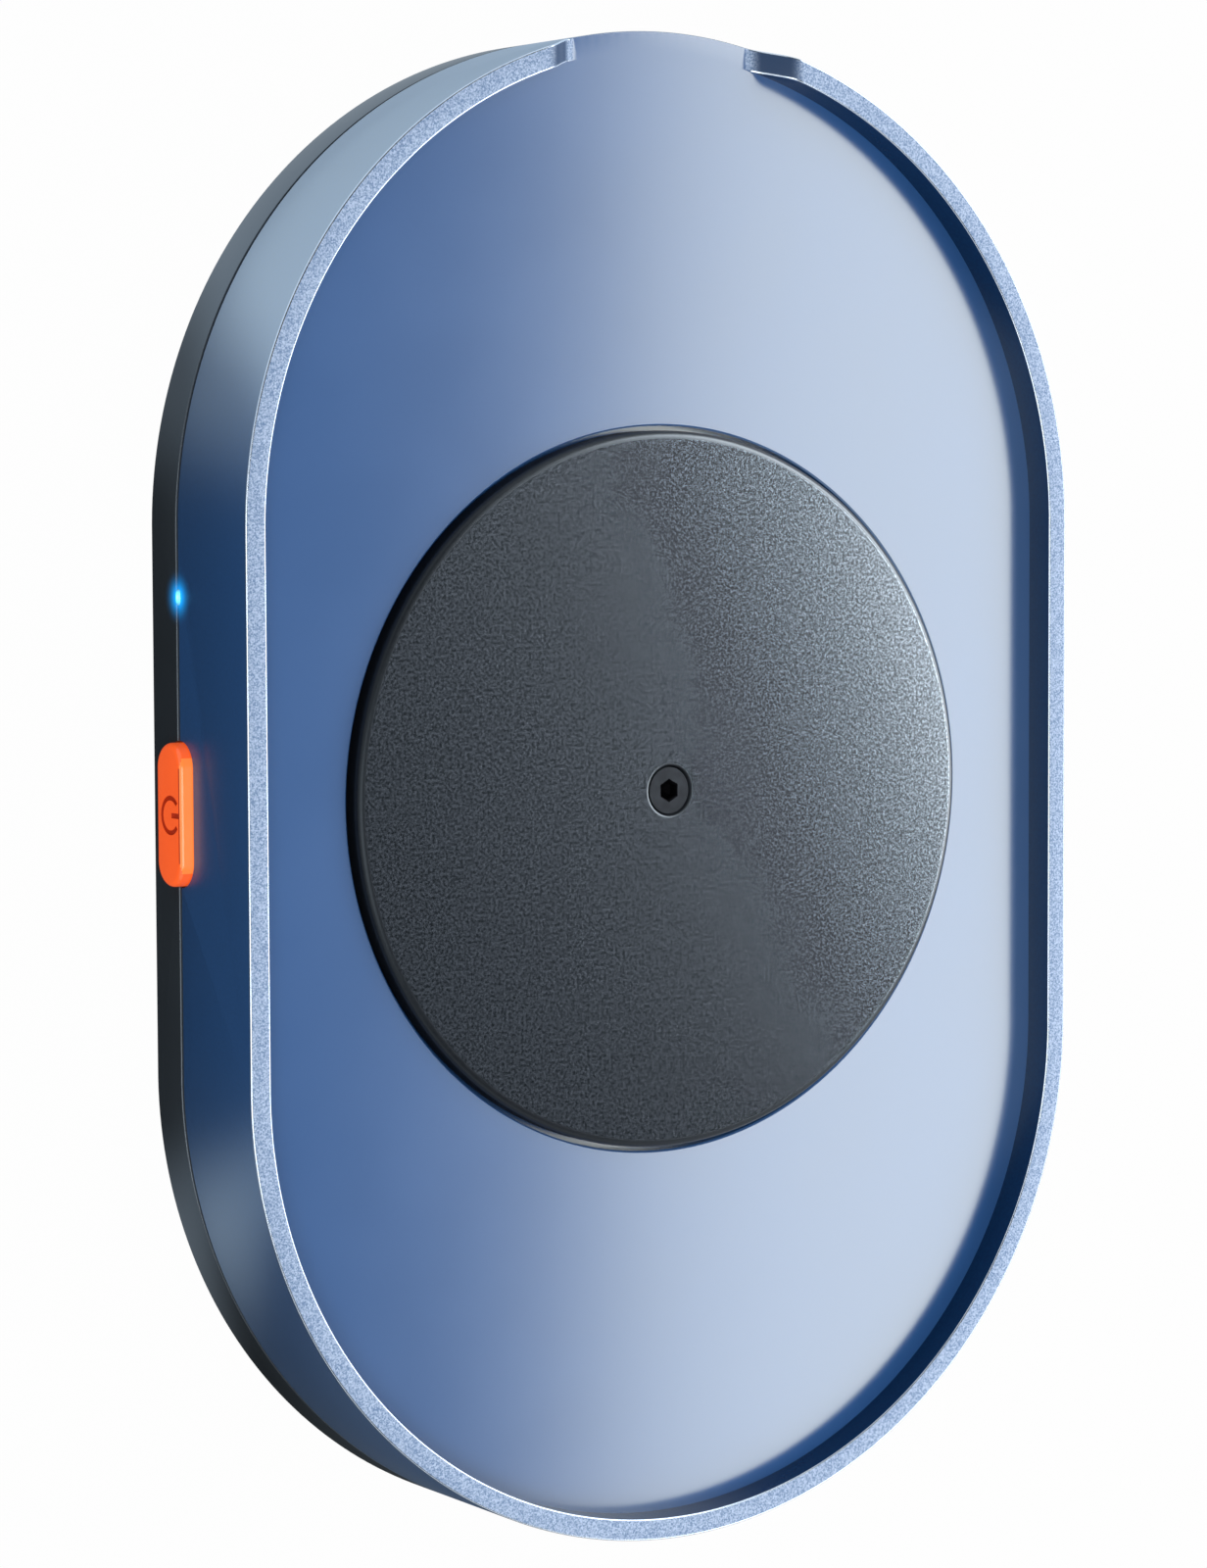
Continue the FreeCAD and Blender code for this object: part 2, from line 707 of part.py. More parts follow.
def two_flats(sketch, radius, flat):
    """A circle with two parallel flats: two arcs and two straight sides along X."""
    big = value(radius)
    high = value(flat)
    across = math.acos(high / big)
    ring = Part.Circle(Vector(0, 0, 0), Vector(0, 0, 1), big)
    spread = math.pi / 2 - across
    arcs = [Part.ArcOfCircle(ring, facing - spread, facing + spread) for facing in (0, math.pi)]
    right, left = [sketch.addGeometry(arc) for arc in arcs]
    top = sketch.addGeometry(Part.LineSegment(arcs[0].EndPoint, arcs[1].StartPoint))
    bottom = sketch.addGeometry(Part.LineSegment(arcs[1].EndPoint, arcs[0].StartPoint))
    for a, b in ((right, top), (top, left), (left, bottom), (bottom, right)):
        sketch.addConstraint(Sketcher.Constraint("Coincident", a, 2, b, 1))
    for line in (top, bottom):
        sketch.addConstraint(Sketcher.Constraint("Horizontal", line))
    for arc in (left, right):
        bind(sketch, "Radius", (arc,), radius)
        pin(sketch, arc, 3, "0", "0")
    bind(sketch, "DistanceY", (-1, 1, top, 1), flat)
    bind(sketch, "DistanceY", (-1, 1, bottom, 1), f"-({flat})")


def make_output_spindle():
    body = new_body("output_spindle")
    head = sketch_on(body, "XY_Plane", disc_under)
    two_flats(head, "spindle_head_radius", "spindle_flat")
    pad(head, "spindle_head_height - drive_clearance")
    journal = sketch_on(body, "XY_Plane", upper_under)
    circle(journal, "spindle_radius")
    pad(journal, f"{disc_under} - {upper_under}")
    seat = sketch_on(body, "XY_Plane", f"({lower_under} - collar_height)")
    two_flats(seat, "seat_radius", "seat_flat")
    pad(seat, f"{upper_under} - {lower_under} + collar_height")
    posts(body, [("0", "0")], "pivot_radius", plate_under, f"({lower_under} - collar_height)")
    low = f"({disc_top} - disc_screw_sunk - disc_screw_length - disc_screw_shank)"
    bores(body, [("0", "0")], "disc_screw_shank", low, disc_top)
    return body


def make_disc_screw():
    body = new_body("disc_screw")
    top = f"({disc_top} - disc_screw_sunk)"
    revolve(body, [("0", top), ("disc_screw_head", top),
                   ("disc_screw_shank", f"{top} - (disc_screw_head - disc_screw_shank)"),
                   ("disc_screw_shank", f"{top} - disc_screw_length"), ("0", f"{top} - disc_screw_length")])
    hexagon = sketch_on(body, "XY_Plane", top)
    radius = "(disc_screw_socket / sqrt(3))"
    polygon(hexagon, [(f"{radius} * cos({60 * k})", f"{radius} * sin({60 * k})") for k in range(6)])
    pocket(hexagon, "disc_screw_head / 2")
    return body


def make_output_gear():
    body = new_body("output_gear")
    gear(body, "output_teeth", lower_under, "lower_gear_width", "idler_direction")
    posts(body, [("0", "0")], "spindle_radius + gear_rim", f"({lower_under} - collar_height)", upper_under)
    # thinner web between the toothed rim and the hub, from below
    ring = sketch_on(body, "XY_Plane", lower_under)
    circle(ring, "gear_module * (output_teeth / 2 - root_depth) - gear_rim")
    circle(ring, "spindle_radius + 2 * gear_rim")
    pocket(ring, "lower_gear_width - gear_web", backwards=True)
    bore = sketch_on(body, "XY_Plane", f"({lower_under} - collar_height)")
    two_flats(bore, "seat_radius + drive_clearance / 2", "seat_flat + drive_clearance / 2")
    pocket(bore, f"{upper_under} - {lower_under} + collar_height", backwards=True)
    return body


def make_idler_gear():
    """The double gear between motor and disc: a wide wheel above, a pinion below."""
    body = new_body("idler_gear")
    place_body(body, idler_x, idler_y, "0")
    gear(body, "idler_teeth", upper_under, "upper_gear_width", "motor_direction")
    hole = sketch_on(body, "XY_Plane", upper_under)
    circle(hole, "window_radius", "window_circle", "0")
    around(pocket(hole, "upper_gear_width", backwards=True), "idler_windows")
    gear(body, "idler_pinion_teeth", lower_under, f"{upper_under} - {lower_under}",
         "idler_direction + 180 + 180 / idler_pinion_teeth")
    collar_low = f"({lower_under} - collar_height)"
    posts(body, [("0", "0")], "collar_radius", collar_low, f"({web_under} - thrust_gap)")
    bores(body, [("0", "0")], "idler_pin_radius + running_clearance", plate_top, web_under)
    return body


def make_idler_pin():
    body = new_body("idler_pin")
    place_body(body, idler_x, idler_y, "0")
    posts(body, [("0", "0")], "idler_pin_radius", plate_under, f"({web_under} + pin_seat)")
    return body


def make_spindle_bush():
    body = new_body("spindle_bush")
    low = f"({web_under} - bush_reach)"
    posts(body, [("0", "0")], "spindle_radius + running_clearance + bush_wall", low, recess_floor)
    bores(body, [("0", "0")], "spindle_radius + running_clearance", low, recess_floor)
    return body


def make_disc_washer():
    body = new_body("disc_washer")
    high = f"({recess_floor} + washer_thickness)"
    posts(body, [("0", "0")], "washer_radius", recess_floor, high)
    bores(body, [("0", "0")], "spindle_radius + drive_clearance", recess_floor, high)
    return body


def make_gear_plate():
    body = new_body("gear_plate")
    sketch = sketch_on(body, "XY_Plane", plate_under)
    right = "(plate_screw_x + plate_margin)"
    top = "(plate_screw_y + plate_margin)"
    shoulder = "(plate_screw_y - plate_margin)"
    bottom = "(plate_low_y - plate_margin)"
    polygon(sketch, [(f"-{right}", top), (f"-{right}", shoulder), ("plate_low_x - plate_margin", bottom),
                     ("plate_low_x + plate_margin", bottom), (right, shoulder), (right, top)])
    sheet_metal = pad(sketch, "plate_thickness")
    ease("Fillet", sheet_metal, "plate_corner", upright)
    # bite for the motor, and holes for pivot, pin and screws
    bores(body, [(motor_x, motor_y)], "motor_radius + screw_clearance * 2", plate_under, plate_top)
    bores(body, [("0", "0")], "pivot_radius + running_clearance", plate_under, plate_top)
    bores(body, [(idler_x, idler_y)], "idler_pin_radius", plate_under, plate_top)
    bores(body, plate_places, "small_screw_shank + screw_clearance", plate_under, plate_top)
    return body


# Motor ----------------------------------------------------------------------------------------


def make_motor_can():
    body = new_body("motor_can")
    place_body(body, motor_x, motor_y, "0")
    low = f"({motor_top} - motor_height)"
    revolve(body, [("0", low), ("motor_radius - motor_edge", low), ("motor_radius", f"{low} + motor_edge"),
                   ("motor_radius", motor_top), ("motor_boss_radius", motor_top),
                   ("motor_boss_radius", f"{motor_top} + motor_boss_height"),
                   ("0", f"{motor_top} + motor_boss_height")])
    ears = sketch_on(body, "XY_Plane", f"({motor_top} - ear_thickness)")
    ear_plate(ears)
    pad(ears, "ear_thickness")
    bores(body, ear_reach, "small_screw_shank + screw_clearance", f"({motor_top} - ear_thickness)", motor_top)
    bores(body, [("0", "0")], "motor_shaft_radius + running_clearance", f"({low} + terminal_depth / 2)",
          f"({motor_top} + motor_boss_height)")
    return body


def ear_plate(sketch):
    """The strip across the can whose round ends are the two ears."""
    radius = value("ear_radius")
    ends = [Vector(value(x), value(y), 0) for x, y in ear_reach]
    heading = math.radians(value("motor_direction"))
    out = Vector(radius * math.cos(heading), radius * math.sin(heading), 0)
    arcs = []
    for middle, facing in zip(ends, (0, math.pi)):
        ring = Part.Circle(middle, Vector(0, 0, 1), radius)
        first = heading + facing
        arcs.append(sketch.addGeometry(Part.ArcOfCircle(ring, first, first + math.pi)))
    left = sketch.addGeometry(Part.LineSegment(ends[0] - out, ends[1] - out))
    right = sketch.addGeometry(Part.LineSegment(ends[1] + out, ends[0] + out))
    for a, pa, b, pb in ((arcs[0], 2, left, 1), (left, 2, arcs[1], 1),
                         (arcs[1], 2, right, 1), (right, 2, arcs[0], 1)):
        sketch.addConstraint(Sketcher.Constraint("Tangent", a, pa, b, pb))
    for arc, (x, y) in zip(arcs, ear_reach):
        bind(sketch, "Radius", (arc,), "ear_radius")
        pin(sketch, arc, 3, x, y)


def make_motor_terminals():
    body = new_body("motor_terminals")
    place_body(body, motor_x, motor_y, "0")
    start = "sqrt(motor_radius * motor_radius - terminal_width * terminal_width / 4)"
    low = f"({lead_level} - terminal_height / 2)"
    high = f"({lead_level} + terminal_height / 2)"
    half = "(terminal_width / 2)"
    block(body, start, "motor_radius + terminal_depth", f"-{half}", half, low, high)
    bores(body, [("0", "0")], "motor_radius", low, high)
    return body


def make_motor_shaft():
    body = new_body("motor_shaft")
    place_body(body, motor_x, motor_y, "0")
    low = f"({motor_top} - motor_height + terminal_depth / 2 + thrust_gap)"
    posts(body, [("0", "0")], "motor_shaft_radius", low, f"({upper_top} + 2 * thrust_gap)")
    return body


def make_motor_pinion():
    body = new_body("motor_pinion")
    place_body(body, motor_x, motor_y, "0")
    low = f"({upper_under} - thrust_gap)"
    width = f"{upper_top} + thrust_gap - {low}"
    gear(body, "motor_teeth", low, width, "motor_direction + 180 + 180 / motor_teeth")
    bores(body, [("0", "0")], "motor_shaft_radius", low, f"({upper_top} + thrust_gap)")
    return body


# Board, button and light ----------------------------------------------------------------------


def make_circuit_board():
    body = new_body("circuit_board")
    sketch = sketch_on(body, "XY_Plane", board_under)
    polygon(sketch, [(f"-{board_left}", "board_low"), (f"-{board_edge}", "board_low"),
                     (f"-{board_edge}", board_turn), ("board_right", board_turn),
                     ("board_right", board_end), ("board_right - board_tab", board_end),
                     ("board_right - board_tab", board_back), (f"-{board_left}", board_back)])
    board = pad(sketch, "board_thickness")
    ease("Fillet", board, "board_corner", upright)
    bores(body, board_places, "board_hole", board_under, board_top)
    return body


def make_usb_socket():
    body = new_body("usb_socket")
    mouth = f"-({end} - usb_inset)"
    shell = sketch_on(body, "XZ_Plane", mouth)
    slot(shell, "usb_height", "usb_width", "0", parting, upright=False)
    pad(shell, "usb_depth")
    inside = sketch_on(body, "XZ_Plane", mouth)
    walls = "2 * usb_wall"
    slot(inside, f"usb_height - {walls}", f"usb_width - {walls}", "0", parting, upright=False)
    pocket(inside, "usb_depth - 3 * usb_wall", backwards=True)
    tongue = sketch_on(body, "XZ_Plane", f"{mouth} + 2 * usb_wall")
    rectangle(tongue, "-usb_tongue_width / 2", "usb_tongue_width / 2",
              f"{parting} - usb_tongue_height / 2", f"{parting} + usb_tongue_height / 2")
    pad(tongue, "usb_depth - 4 * usb_wall")
    return body


def make_board_chips():
    chip = new_body("chip")
    half = "(chip_size / 2)"
    block(chip, f"-{half}", half, f"-{half}", half, "0", "chip_height")
    places = [(strip_middle, f"{board_turn} / 4"), (f"-{board_left} / 2", f"{board_turn} + board_bar / 2"),
              (tab_middle, f"({board_end} + {board_back}) / 2")]
    return group("board_chips", chip, places, board_top)


def make_motor_plug():
    body = new_body("motor_plug")
    middle = f"({board_turn} + board_bar / 2)"
    block(body, "board_right - plug_depth", "board_right", f"{middle} - plug_width / 2",
          f"{middle} + plug_width / 2", board_top, f"({board_top} + plug_height)")
    return body


def make_tact_switch():
    body = new_body("tact_switch")
    block(body, switch_front, f"({switch_front} + switch_depth)", "button_y - switch_width / 2",
          "button_y + switch_width / 2", board_top, f"({board_top} + switch_height)")
    room = sketch_on(body, "YZ_Plane", switch_front)
    half = "(plunger_width / 2 + plunger_clearance)"
    tall = "(plunger_height / 2 + plunger_clearance)"
    rectangle(room, f"button_y - {half}", f"button_y + {half}", f"{parting} - {tall}", f"{parting} + {tall}")
    pocket(room, "plunger_sink + 2 * button_travel", backwards=True)
    return body


def make_switch_plunger():
    body = new_body("switch_plunger")
    sketch = sketch_on(body, "YZ_Plane", plunger_tip)
    rectangle(sketch, "button_y - plunger_width / 2", "button_y + plunger_width / 2",
              f"{parting} - plunger_height / 2", f"{parting} + plunger_height / 2")
    pad(sketch, "plunger_length + plunger_sink")
    return body


def make_power_button():
    body = new_body("power_button")
    face = sketch_on(body, "YZ_Plane", f"-({side} + button_proud)")
    slot(face, "button_height", "button_length", "button_y", parting, upright=False)
    cap = pad(face, f"button_proud + {flange_back} + {side}")
    front = -value(f"{side} + button_proud")
    ease("Fillet", cap, "button_edge", lambda edge: edge.BoundBox.XMax < front + near)
    flange = sketch_on(body, "YZ_Plane", flange_face)
    slot(flange, "button_height + 2 * button_flange", "button_length + 2 * button_flange",
         "button_y", parting, upright=False)
    pad(flange, "flange_thickness")
    return body


def make_light_pipe():
    body = new_body("light_pipe")
    tip = sketch_on(body, "YZ_Plane", f"-{side}")
    slot(tip, "light_height", "light_length", "light_y", parting, upright=False)
    pad(tip, "skirt_wall + light_block_depth / 2")
    half = "(light_block_width / 2 - drive_clearance)"
    block(body, f"-{side} + skirt_wall", f"-{board_left}", f"light_y - {half}", f"light_y + {half}",
          f"({parting} - light_block_height / 2)", f"({parting} + light_block_height / 2)")
    return body


def make_status_led():
    body = new_body("status_led")
    front = f"(-{board_left} + switch_play)"
    block(body, front, f"{front} + led_depth", "light_y - led_width / 2", "light_y + led_width / 2",
          board_top, f"({board_top} + led_height)")
    return body


# Motor lead -----------------------------------------------------------------------------------


def bent_path(sketch, points, radius):
    """Straight runs joined by tangent arcs; gives the sketch's edges in order."""
    edges = []
    here = points[0]
    for before, corner, after in zip(points, points[1:], points[2:]):
        into = (corner - before).normalize()
        away = (after - corner).normalize()
        turn = into.getAngle(away)
        cut = radius * math.tan(turn / 2)
        start = corner - into * cut
        stop = corner + away * cut
        inward = (away - into).normalize()
        sag = radius / math.cos(turn / 2) - radius
        edges.append(sketch.addGeometry(Part.LineSegment(here, start)))
        edges.append(sketch.addGeometry(Part.Arc(start, corner + inward * sag, stop)))
        here = stop
    edges.append(sketch.addGeometry(Part.LineSegment(here, points[-1])))
    return [f"Edge{edge + 1}" for edge in edges]


def make_motor_leads():
    """The flat lead that stands on edge, from the motor's terminals along the wall to the board."""
    body = new_body("motor_leads")
    start_x = f"({motor_x} + motor_radius + terminal_depth)"
    aisle = f"({start_x} + lead_reach)"
    across = f"({board_turn} + board_bar / 2)"
    corners_of_path = [(start_x, motor_y), (aisle, motor_y), (aisle, across), ("board_right", across)]
    route = sketch_on(body, "XY_Plane", lead_level)
    edges = bent_path(route, [Vector(value(x), value(y), 0) for x, y in corners_of_path], value("lead_bend"))
    section = sketch_on(body, "YZ_Plane", start_x)
    half = "(lead_count * lead_pitch / 2)"
    rectangle(section, f"{motor_y} - lead_thickness / 2", f"{motor_y} + lead_thickness / 2",
              f"{lead_level} - {half}", f"{lead_level} + {half}")
    ribbon = body.newObject("PartDesign::AdditivePipe", "motor_leads_pipe")
    ribbon.Profile = section
    ribbon.Spine = (route, edges)
    return body


nodes = [
    make_tray_shell(),
    make_base_shell(),
    make_rubber_feet(),
    make_turntable_disc(),
    make_disc_screw(),
    make_output_spindle(),
    make_spindle_bush(),
    make_disc_washer(),
    make_output_gear(),
    make_idler_gear(),
    make_idler_pin(),
    make_gear_plate(),
    make_motor_can(),
    make_motor_terminals(),
    make_motor_shaft(),
    make_motor_pinion(),
    make_circuit_board(),
    make_usb_socket(),
    make_board_chips(),
    make_motor_plug(),
    make_tact_switch(),
    make_switch_plunger(),
    make_power_button(),
    make_light_pipe(),
    make_status_led(),
    make_motor_leads(),
]

case_screw = headed_screw("case_screw", "case_screw_head", "case_screw_head_height", "case_screw_shank",
                          f"({parting} - {case_seat} + case_screw_depth - case_screw_shank)")
nodes.append(group("case_screws", case_screw, foot_places, case_seat))
small_screw = ("small_screw_head", "small_screw_head_height", "small_screw_shank")
plate_screw = headed_screw("plate_screw", *small_screw, "small_screw_depth")
nodes.append(group("plate_screws", plate_screw, plate_places, plate_under))
ear_screw = headed_screw("ear_screw", *small_screw, "(ear_screw_depth + ear_thickness / 2)")
nodes.append(group("motor_screws", ear_screw, ear_places, f"{motor_top} - ear_thickness"))

doc.recompute()

# Every object has to be sound before anything is written.
for thing in doc.Objects:
    if {"Invalid", "Error"} & set(thing.State):
        raise RuntimeError(f"{thing.Name} failed: {thing.State}")
    if thing.TypeId in ("PartDesign::Pocket", "PartDesign::Groove"):
        if thing.Shape.Volume > thing.BaseFeature.Shape.Volume - near:
            raise RuntimeError(f"{thing.Name} cuts nothing")
os.makedirs("parts", exist_ok=True)
for node in nodes:
    if node.Shape.isNull() or not node.Shape.isValid():
        raise RuntimeError(f"{node.Label} has no sound shape")
    node.Shape.exportStep(f"parts/{node.Label}.step")
    print(node.Label, len(node.Shape.Solids), round(node.Shape.Volume, 2))
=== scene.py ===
import json
import math

import bmesh
import bpy
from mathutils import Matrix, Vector

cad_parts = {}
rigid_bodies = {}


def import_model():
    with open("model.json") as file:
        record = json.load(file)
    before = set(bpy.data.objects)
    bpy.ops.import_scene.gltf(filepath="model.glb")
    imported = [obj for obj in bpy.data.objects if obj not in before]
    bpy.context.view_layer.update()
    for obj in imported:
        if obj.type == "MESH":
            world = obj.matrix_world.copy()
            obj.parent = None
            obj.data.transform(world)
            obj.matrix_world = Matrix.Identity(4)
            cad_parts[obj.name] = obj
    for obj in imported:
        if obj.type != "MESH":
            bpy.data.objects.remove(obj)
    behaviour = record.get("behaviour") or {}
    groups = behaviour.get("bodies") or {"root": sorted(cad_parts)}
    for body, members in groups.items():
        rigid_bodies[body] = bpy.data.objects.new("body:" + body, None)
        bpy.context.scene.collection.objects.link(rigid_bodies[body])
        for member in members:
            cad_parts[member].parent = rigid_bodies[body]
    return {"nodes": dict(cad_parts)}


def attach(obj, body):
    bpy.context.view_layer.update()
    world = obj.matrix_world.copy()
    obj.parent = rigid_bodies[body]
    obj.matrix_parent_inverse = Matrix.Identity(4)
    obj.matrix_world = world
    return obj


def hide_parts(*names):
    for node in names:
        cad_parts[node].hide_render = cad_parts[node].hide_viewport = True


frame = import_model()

mm = 0.001  # sizes below are in millimetres, unless a note says otherwise
# Z is up from the table, the gap for a mouse's cable is at +Y, and the button is on the -X side

for spare in [o for o in bpy.data.objects if o.name in ("Cube", "Light", "Camera")]:
    bpy.data.objects.remove(spare)
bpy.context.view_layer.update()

# heights above the table that several pieces share
heights = {
    "foot": 0.6,
    "parting": 6.2,
    "ceiling": 13.5,
    "recess": 13.9,
    "webUnder": 12.3,
    "floor": 15.5,
    "rim": 18.5,
}
# the plan outline: half circles whose middles lie endCentre from the disc's axis
outline = {"radius": 44.0, "endCentre": 23.75, "steps": 256}
footPlaces = [(27.5, 42.0), (-27.5, 42.0), (-27.5, -42.0), (27.5, -42.0)]
boardPlaces = [(-32.2, -10.0), (-32.2, 29.25), (0.0, 36.0)]
platePlaces = [(14.0, 14.0), (-14.0, 14.0), (4.0, -35.0)]
earPlaces = [(24.149, -13.628), (11.149, -36.145)]
idlerPlace = (4.6587, -17.3867)
sidePlaces = {"button": -0.8, "light": 18.0}  # along Y, on the button's side
near = 0.01  # how close counts as the same height or face
past = 1.0  # how far a cutter or a welded piece reaches past the face that it meets


# working in edit mode


def freeHands():
    if bpy.context.mode != "OBJECT":
        bpy.ops.object.mode_set(mode="OBJECT")
    bpy.ops.object.select_all(action="DESELECT")


def holdOnly(piece):
    freeHands()
    piece.select_set(True)
    bpy.context.view_layer.objects.active = piece


def editPiece(piece):
    holdOnly(piece)
    bpy.ops.object.mode_set(mode="EDIT")


def where(part):
    # middle of a vertex, edge or face, in millimetres
    if isinstance(part, bmesh.types.BMVert):
        return part.co / mm
    if isinstance(part, bmesh.types.BMEdge):
        return (part.verts[0].co + part.verts[1].co) / (2 * mm)
    return part.calc_center_median() / mm


def atHeight(part, height):
    return abs(where(part).z - height) < near


def pick(kind, wanted):
    # picks the vertices, edges or faces that the test says yes to
    bpy.ops.mesh.select_mode(type=kind)
    bpy.ops.mesh.select_all(action="DESELECT")
    mesh = bpy.context.edit_object.data
    drawn = bmesh.from_edit_mesh(mesh)
    parts = {"VERT": drawn.verts, "EDGE": drawn.edges, "FACE": drawn.faces}[kind]
    for part in [p for p in parts if wanted(p)]:
        part.select_set(True)
    bmesh.update_edit_mesh(mesh)


def slide(x=0.0, y=0.0, z=0.0):
    bpy.ops.transform.translate(value=(x * mm, y * mm, z * mm))


def pullOut(x=0.0, y=0.0, z=0.0):
    bpy.ops.mesh.extrude_region_move(TRANSFORM_OT_translate={"value": (x * mm, y * mm, z * mm)})


def growLoop(wide, up=0.0, middlePoint=(0.0, 0.0, 0.0)):
    # extrudes the picked loop, scales it about the axis and lifts it
    bpy.ops.mesh.extrude_region_move()
    bpy.ops.transform.resize(value=(wide, wide, 1.0), center_override=middlePoint)
    slide(z=up)


def openAll():
    # the new shape in edit mode, with all its points picked
    bpy.ops.object.transform_apply(location=True, rotation=True, scale=True)
    bpy.ops.object.mode_set(mode="EDIT")
    bpy.ops.mesh.select_mode(type="VERT")
    bpy.ops.mesh.select_all(action="SELECT")


def closeSolid():
    # every face outward, and back to object mode
    solid = bpy.context.edit_object
    bpy.ops.mesh.select_all(action="SELECT")
    bpy.ops.mesh.normals_make_consistent(inside=False)
    freeHands()
    return solid


def addRing(radius, height, steps, fill="NOTHING", place=(0.0, 0.0)):
    # a new level circle, left in edit mode
    bpy.ops.mesh.primitive_circle_add(
        vertices=steps, radius=radius * mm, fill_type=fill,
        location=(place[0] * mm, place[1] * mm, height * mm), rotation=(0, 0, math.pi / steps))
    openAll()


def growRings(rings, middlePoint=(0.0, 0.0, 0.0)):
    # from a picked circle of the first radius, one ring for each further (radius, height)
    for (radius, height), (nextRadius, nextHeight) in zip(rings, rings[1:]):
        growLoop(nextRadius / radius, nextHeight - height, middlePoint)


def spreadHalves(apart, centre=0.0):
    # moves the far half of the picked loop one way and the near half the other
    mesh = bpy.context.edit_object.data
    loop = [v.index for v in bmesh.from_edit_mesh(mesh).verts if v.select]
    bpy.ops.mesh.select_mode(type="VERT")
    for way in (1, -1):
        drawn = bmesh.from_edit_mesh(mesh)
        drawn.verts.ensure_lookup_table()
        for index in loop:
            drawn.verts[index].select_set((drawn.verts[index].co.y - centre * mm) * way > 0)
        drawn.select_flush(True)
        bmesh.update_edit_mesh(mesh)
        slide(y=way * apart)
    drawn = bmesh.from_edit_mesh(mesh)
    drawn.verts.ensure_lookup_table()
    for index in loop:
        drawn.verts[index].select_set(True)
    drawn.select_flush(True)
    bmesh.update_edit_mesh(mesh)


def addStadium(height):
    # half a step of turn leaves a straight edge at each side, where the halves part
    addRing(outline["radius"], height, outline["steps"], fill="NGON")
    spreadHalves(outline["endCentre"])


def cleanUp():
    bpy.ops.mesh.select_all(action="SELECT")
    bpy.ops.mesh.remove_doubles(threshold=0.0005 * mm)
    bpy.ops.mesh.normals_make_consistent(inside=False)


def joinByCut(piece, others, operation):
    # cuts the others away from the piece, or welds them on, and throws them away
    for other in others:
        holdOnly(piece)
        cut = piece.modifiers.new("join", "BOOLEAN")
        cut.operation = operation
        cut.solver = "EXACT"
        cut.object = other
        bpy.ops.object.modifier_apply(modifier=cut.name)
        bpy.data.objects.remove(other)


def turnedSolid(rings, steps, place=(0.0, 0.0)):
    # a closed round solid on an upright axis, from (radius, height) rings, lowest first
    freeHands()
    addRing(*rings[0], steps, fill="NGON", place=place)
    growRings(rings, (place[0] * mm, place[1] * mm, 0.0))
    return closeSolid()


def pillar(radius, low, high, place=(0.0, 0.0), steps=48):
    return turnedSolid([(radius, low), (radius, high)], steps, place)


def slab(xSpan, ySpan, zSpan):
    # a box between two places on each axis
    freeHands()
    spans = (xSpan, ySpan, zSpan)
    bpy.ops.mesh.primitive_cube_add(size=1.0, location=[sum(span) / 2 * mm for span in spans])
    bpy.ops.transform.resize(value=[(span[1] - span[0]) * mm for span in spans])
    bpy.ops.object.transform_apply(location=True, rotation=True, scale=True)
    return bpy.context.object


def sideBar(width, length, y, xLow, xHigh, steps=48):
    # a bar along X through the side wall, centred on the seam, round at both ends in Y
    start = (xLow * mm, y * mm, heights["parting"] * mm)
    freeHands()
    bpy.ops.mesh.primitive_circle_add(vertices=steps, radius=width / 2 * mm, fill_type="NGON",
                                      location=start, rotation=(0, math.pi / 2, 0))
    openAll()
    bpy.ops.transform.rotate(value=math.pi / steps, orient_axis="X", center_override=start)
    spreadHalves((length - width) / 2, y)
    bpy.ops.mesh.select_mode(type="FACE")
    pullOut(x=xHigh - xLow)
    return closeSolid()


def wear(piece, looks):
    # gives the piece its finishes, the first of them all over
    piece.data.materials.clear()
    for name, look in looks.items():
        piece.data.materials.append(newFinish(name, look))


def paintFaces(piece, finish, wanted):
    editPiece(piece)
    pick("FACE", wanted)
    piece.active_material_index = piece.data.materials.find(finish)
    bpy.ops.object.material_slot_assign()
    freeHands()


def finishPiece(piece, name, body, node, angle=30):
    holdOnly(piece)
    bpy.ops.object.transform_apply(location=True, rotation=True, scale=True)
    bpy.ops.object.shade_smooth_by_angle(angle=math.radians(angle))
    piece.name = piece.data.name = name
    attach(piece, body)
    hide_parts(node)
    freeHands()


# materials


def linkMath(tree, operation, *sources):
    # a math node, fed by sockets or plain numbers
    node = tree.nodes.new("ShaderNodeMath")
    node.operation = operation
    for socket, source in zip(node.inputs, sources):
        if isinstance(source, float):
            socket.default_value = source
        else:
            tree.links.new(source, socket)
    return node.outputs["Value"]


def linkRange(tree, source, fromSpan, toSpan, way="LINEAR"):
    # carries one span of values over to another
    node = tree.nodes.new("ShaderNodeMapRange")
    node.interpolation_type = way
    for name, size in zip(("From Min", "From Max", "To Min", "To Max"), (*fromSpan, *toSpan)):
        node.inputs[name].default_value = size
    tree.links.new(source, node.inputs["Value"])
    return node.outputs["Result"]


def linkRamp(tree, source, stops, way="LINEAR"):
    # colours along the values from 0 to 1, from (value, colour) pairs
    node = tree.nodes.new("ShaderNodeValToRGB")
    node.color_ramp.interpolation = way
    while len(node.color_ramp.elements) < len(stops):
        node.color_ramp.elements.new(0.5)
    for element, (position, colour) in zip(node.color_ramp.elements, stops):
        element.position = position
        element.color = (*colour, 1.0)
    tree.links.new(source, node.inputs["Fac"])
    return node.outputs["Color"]


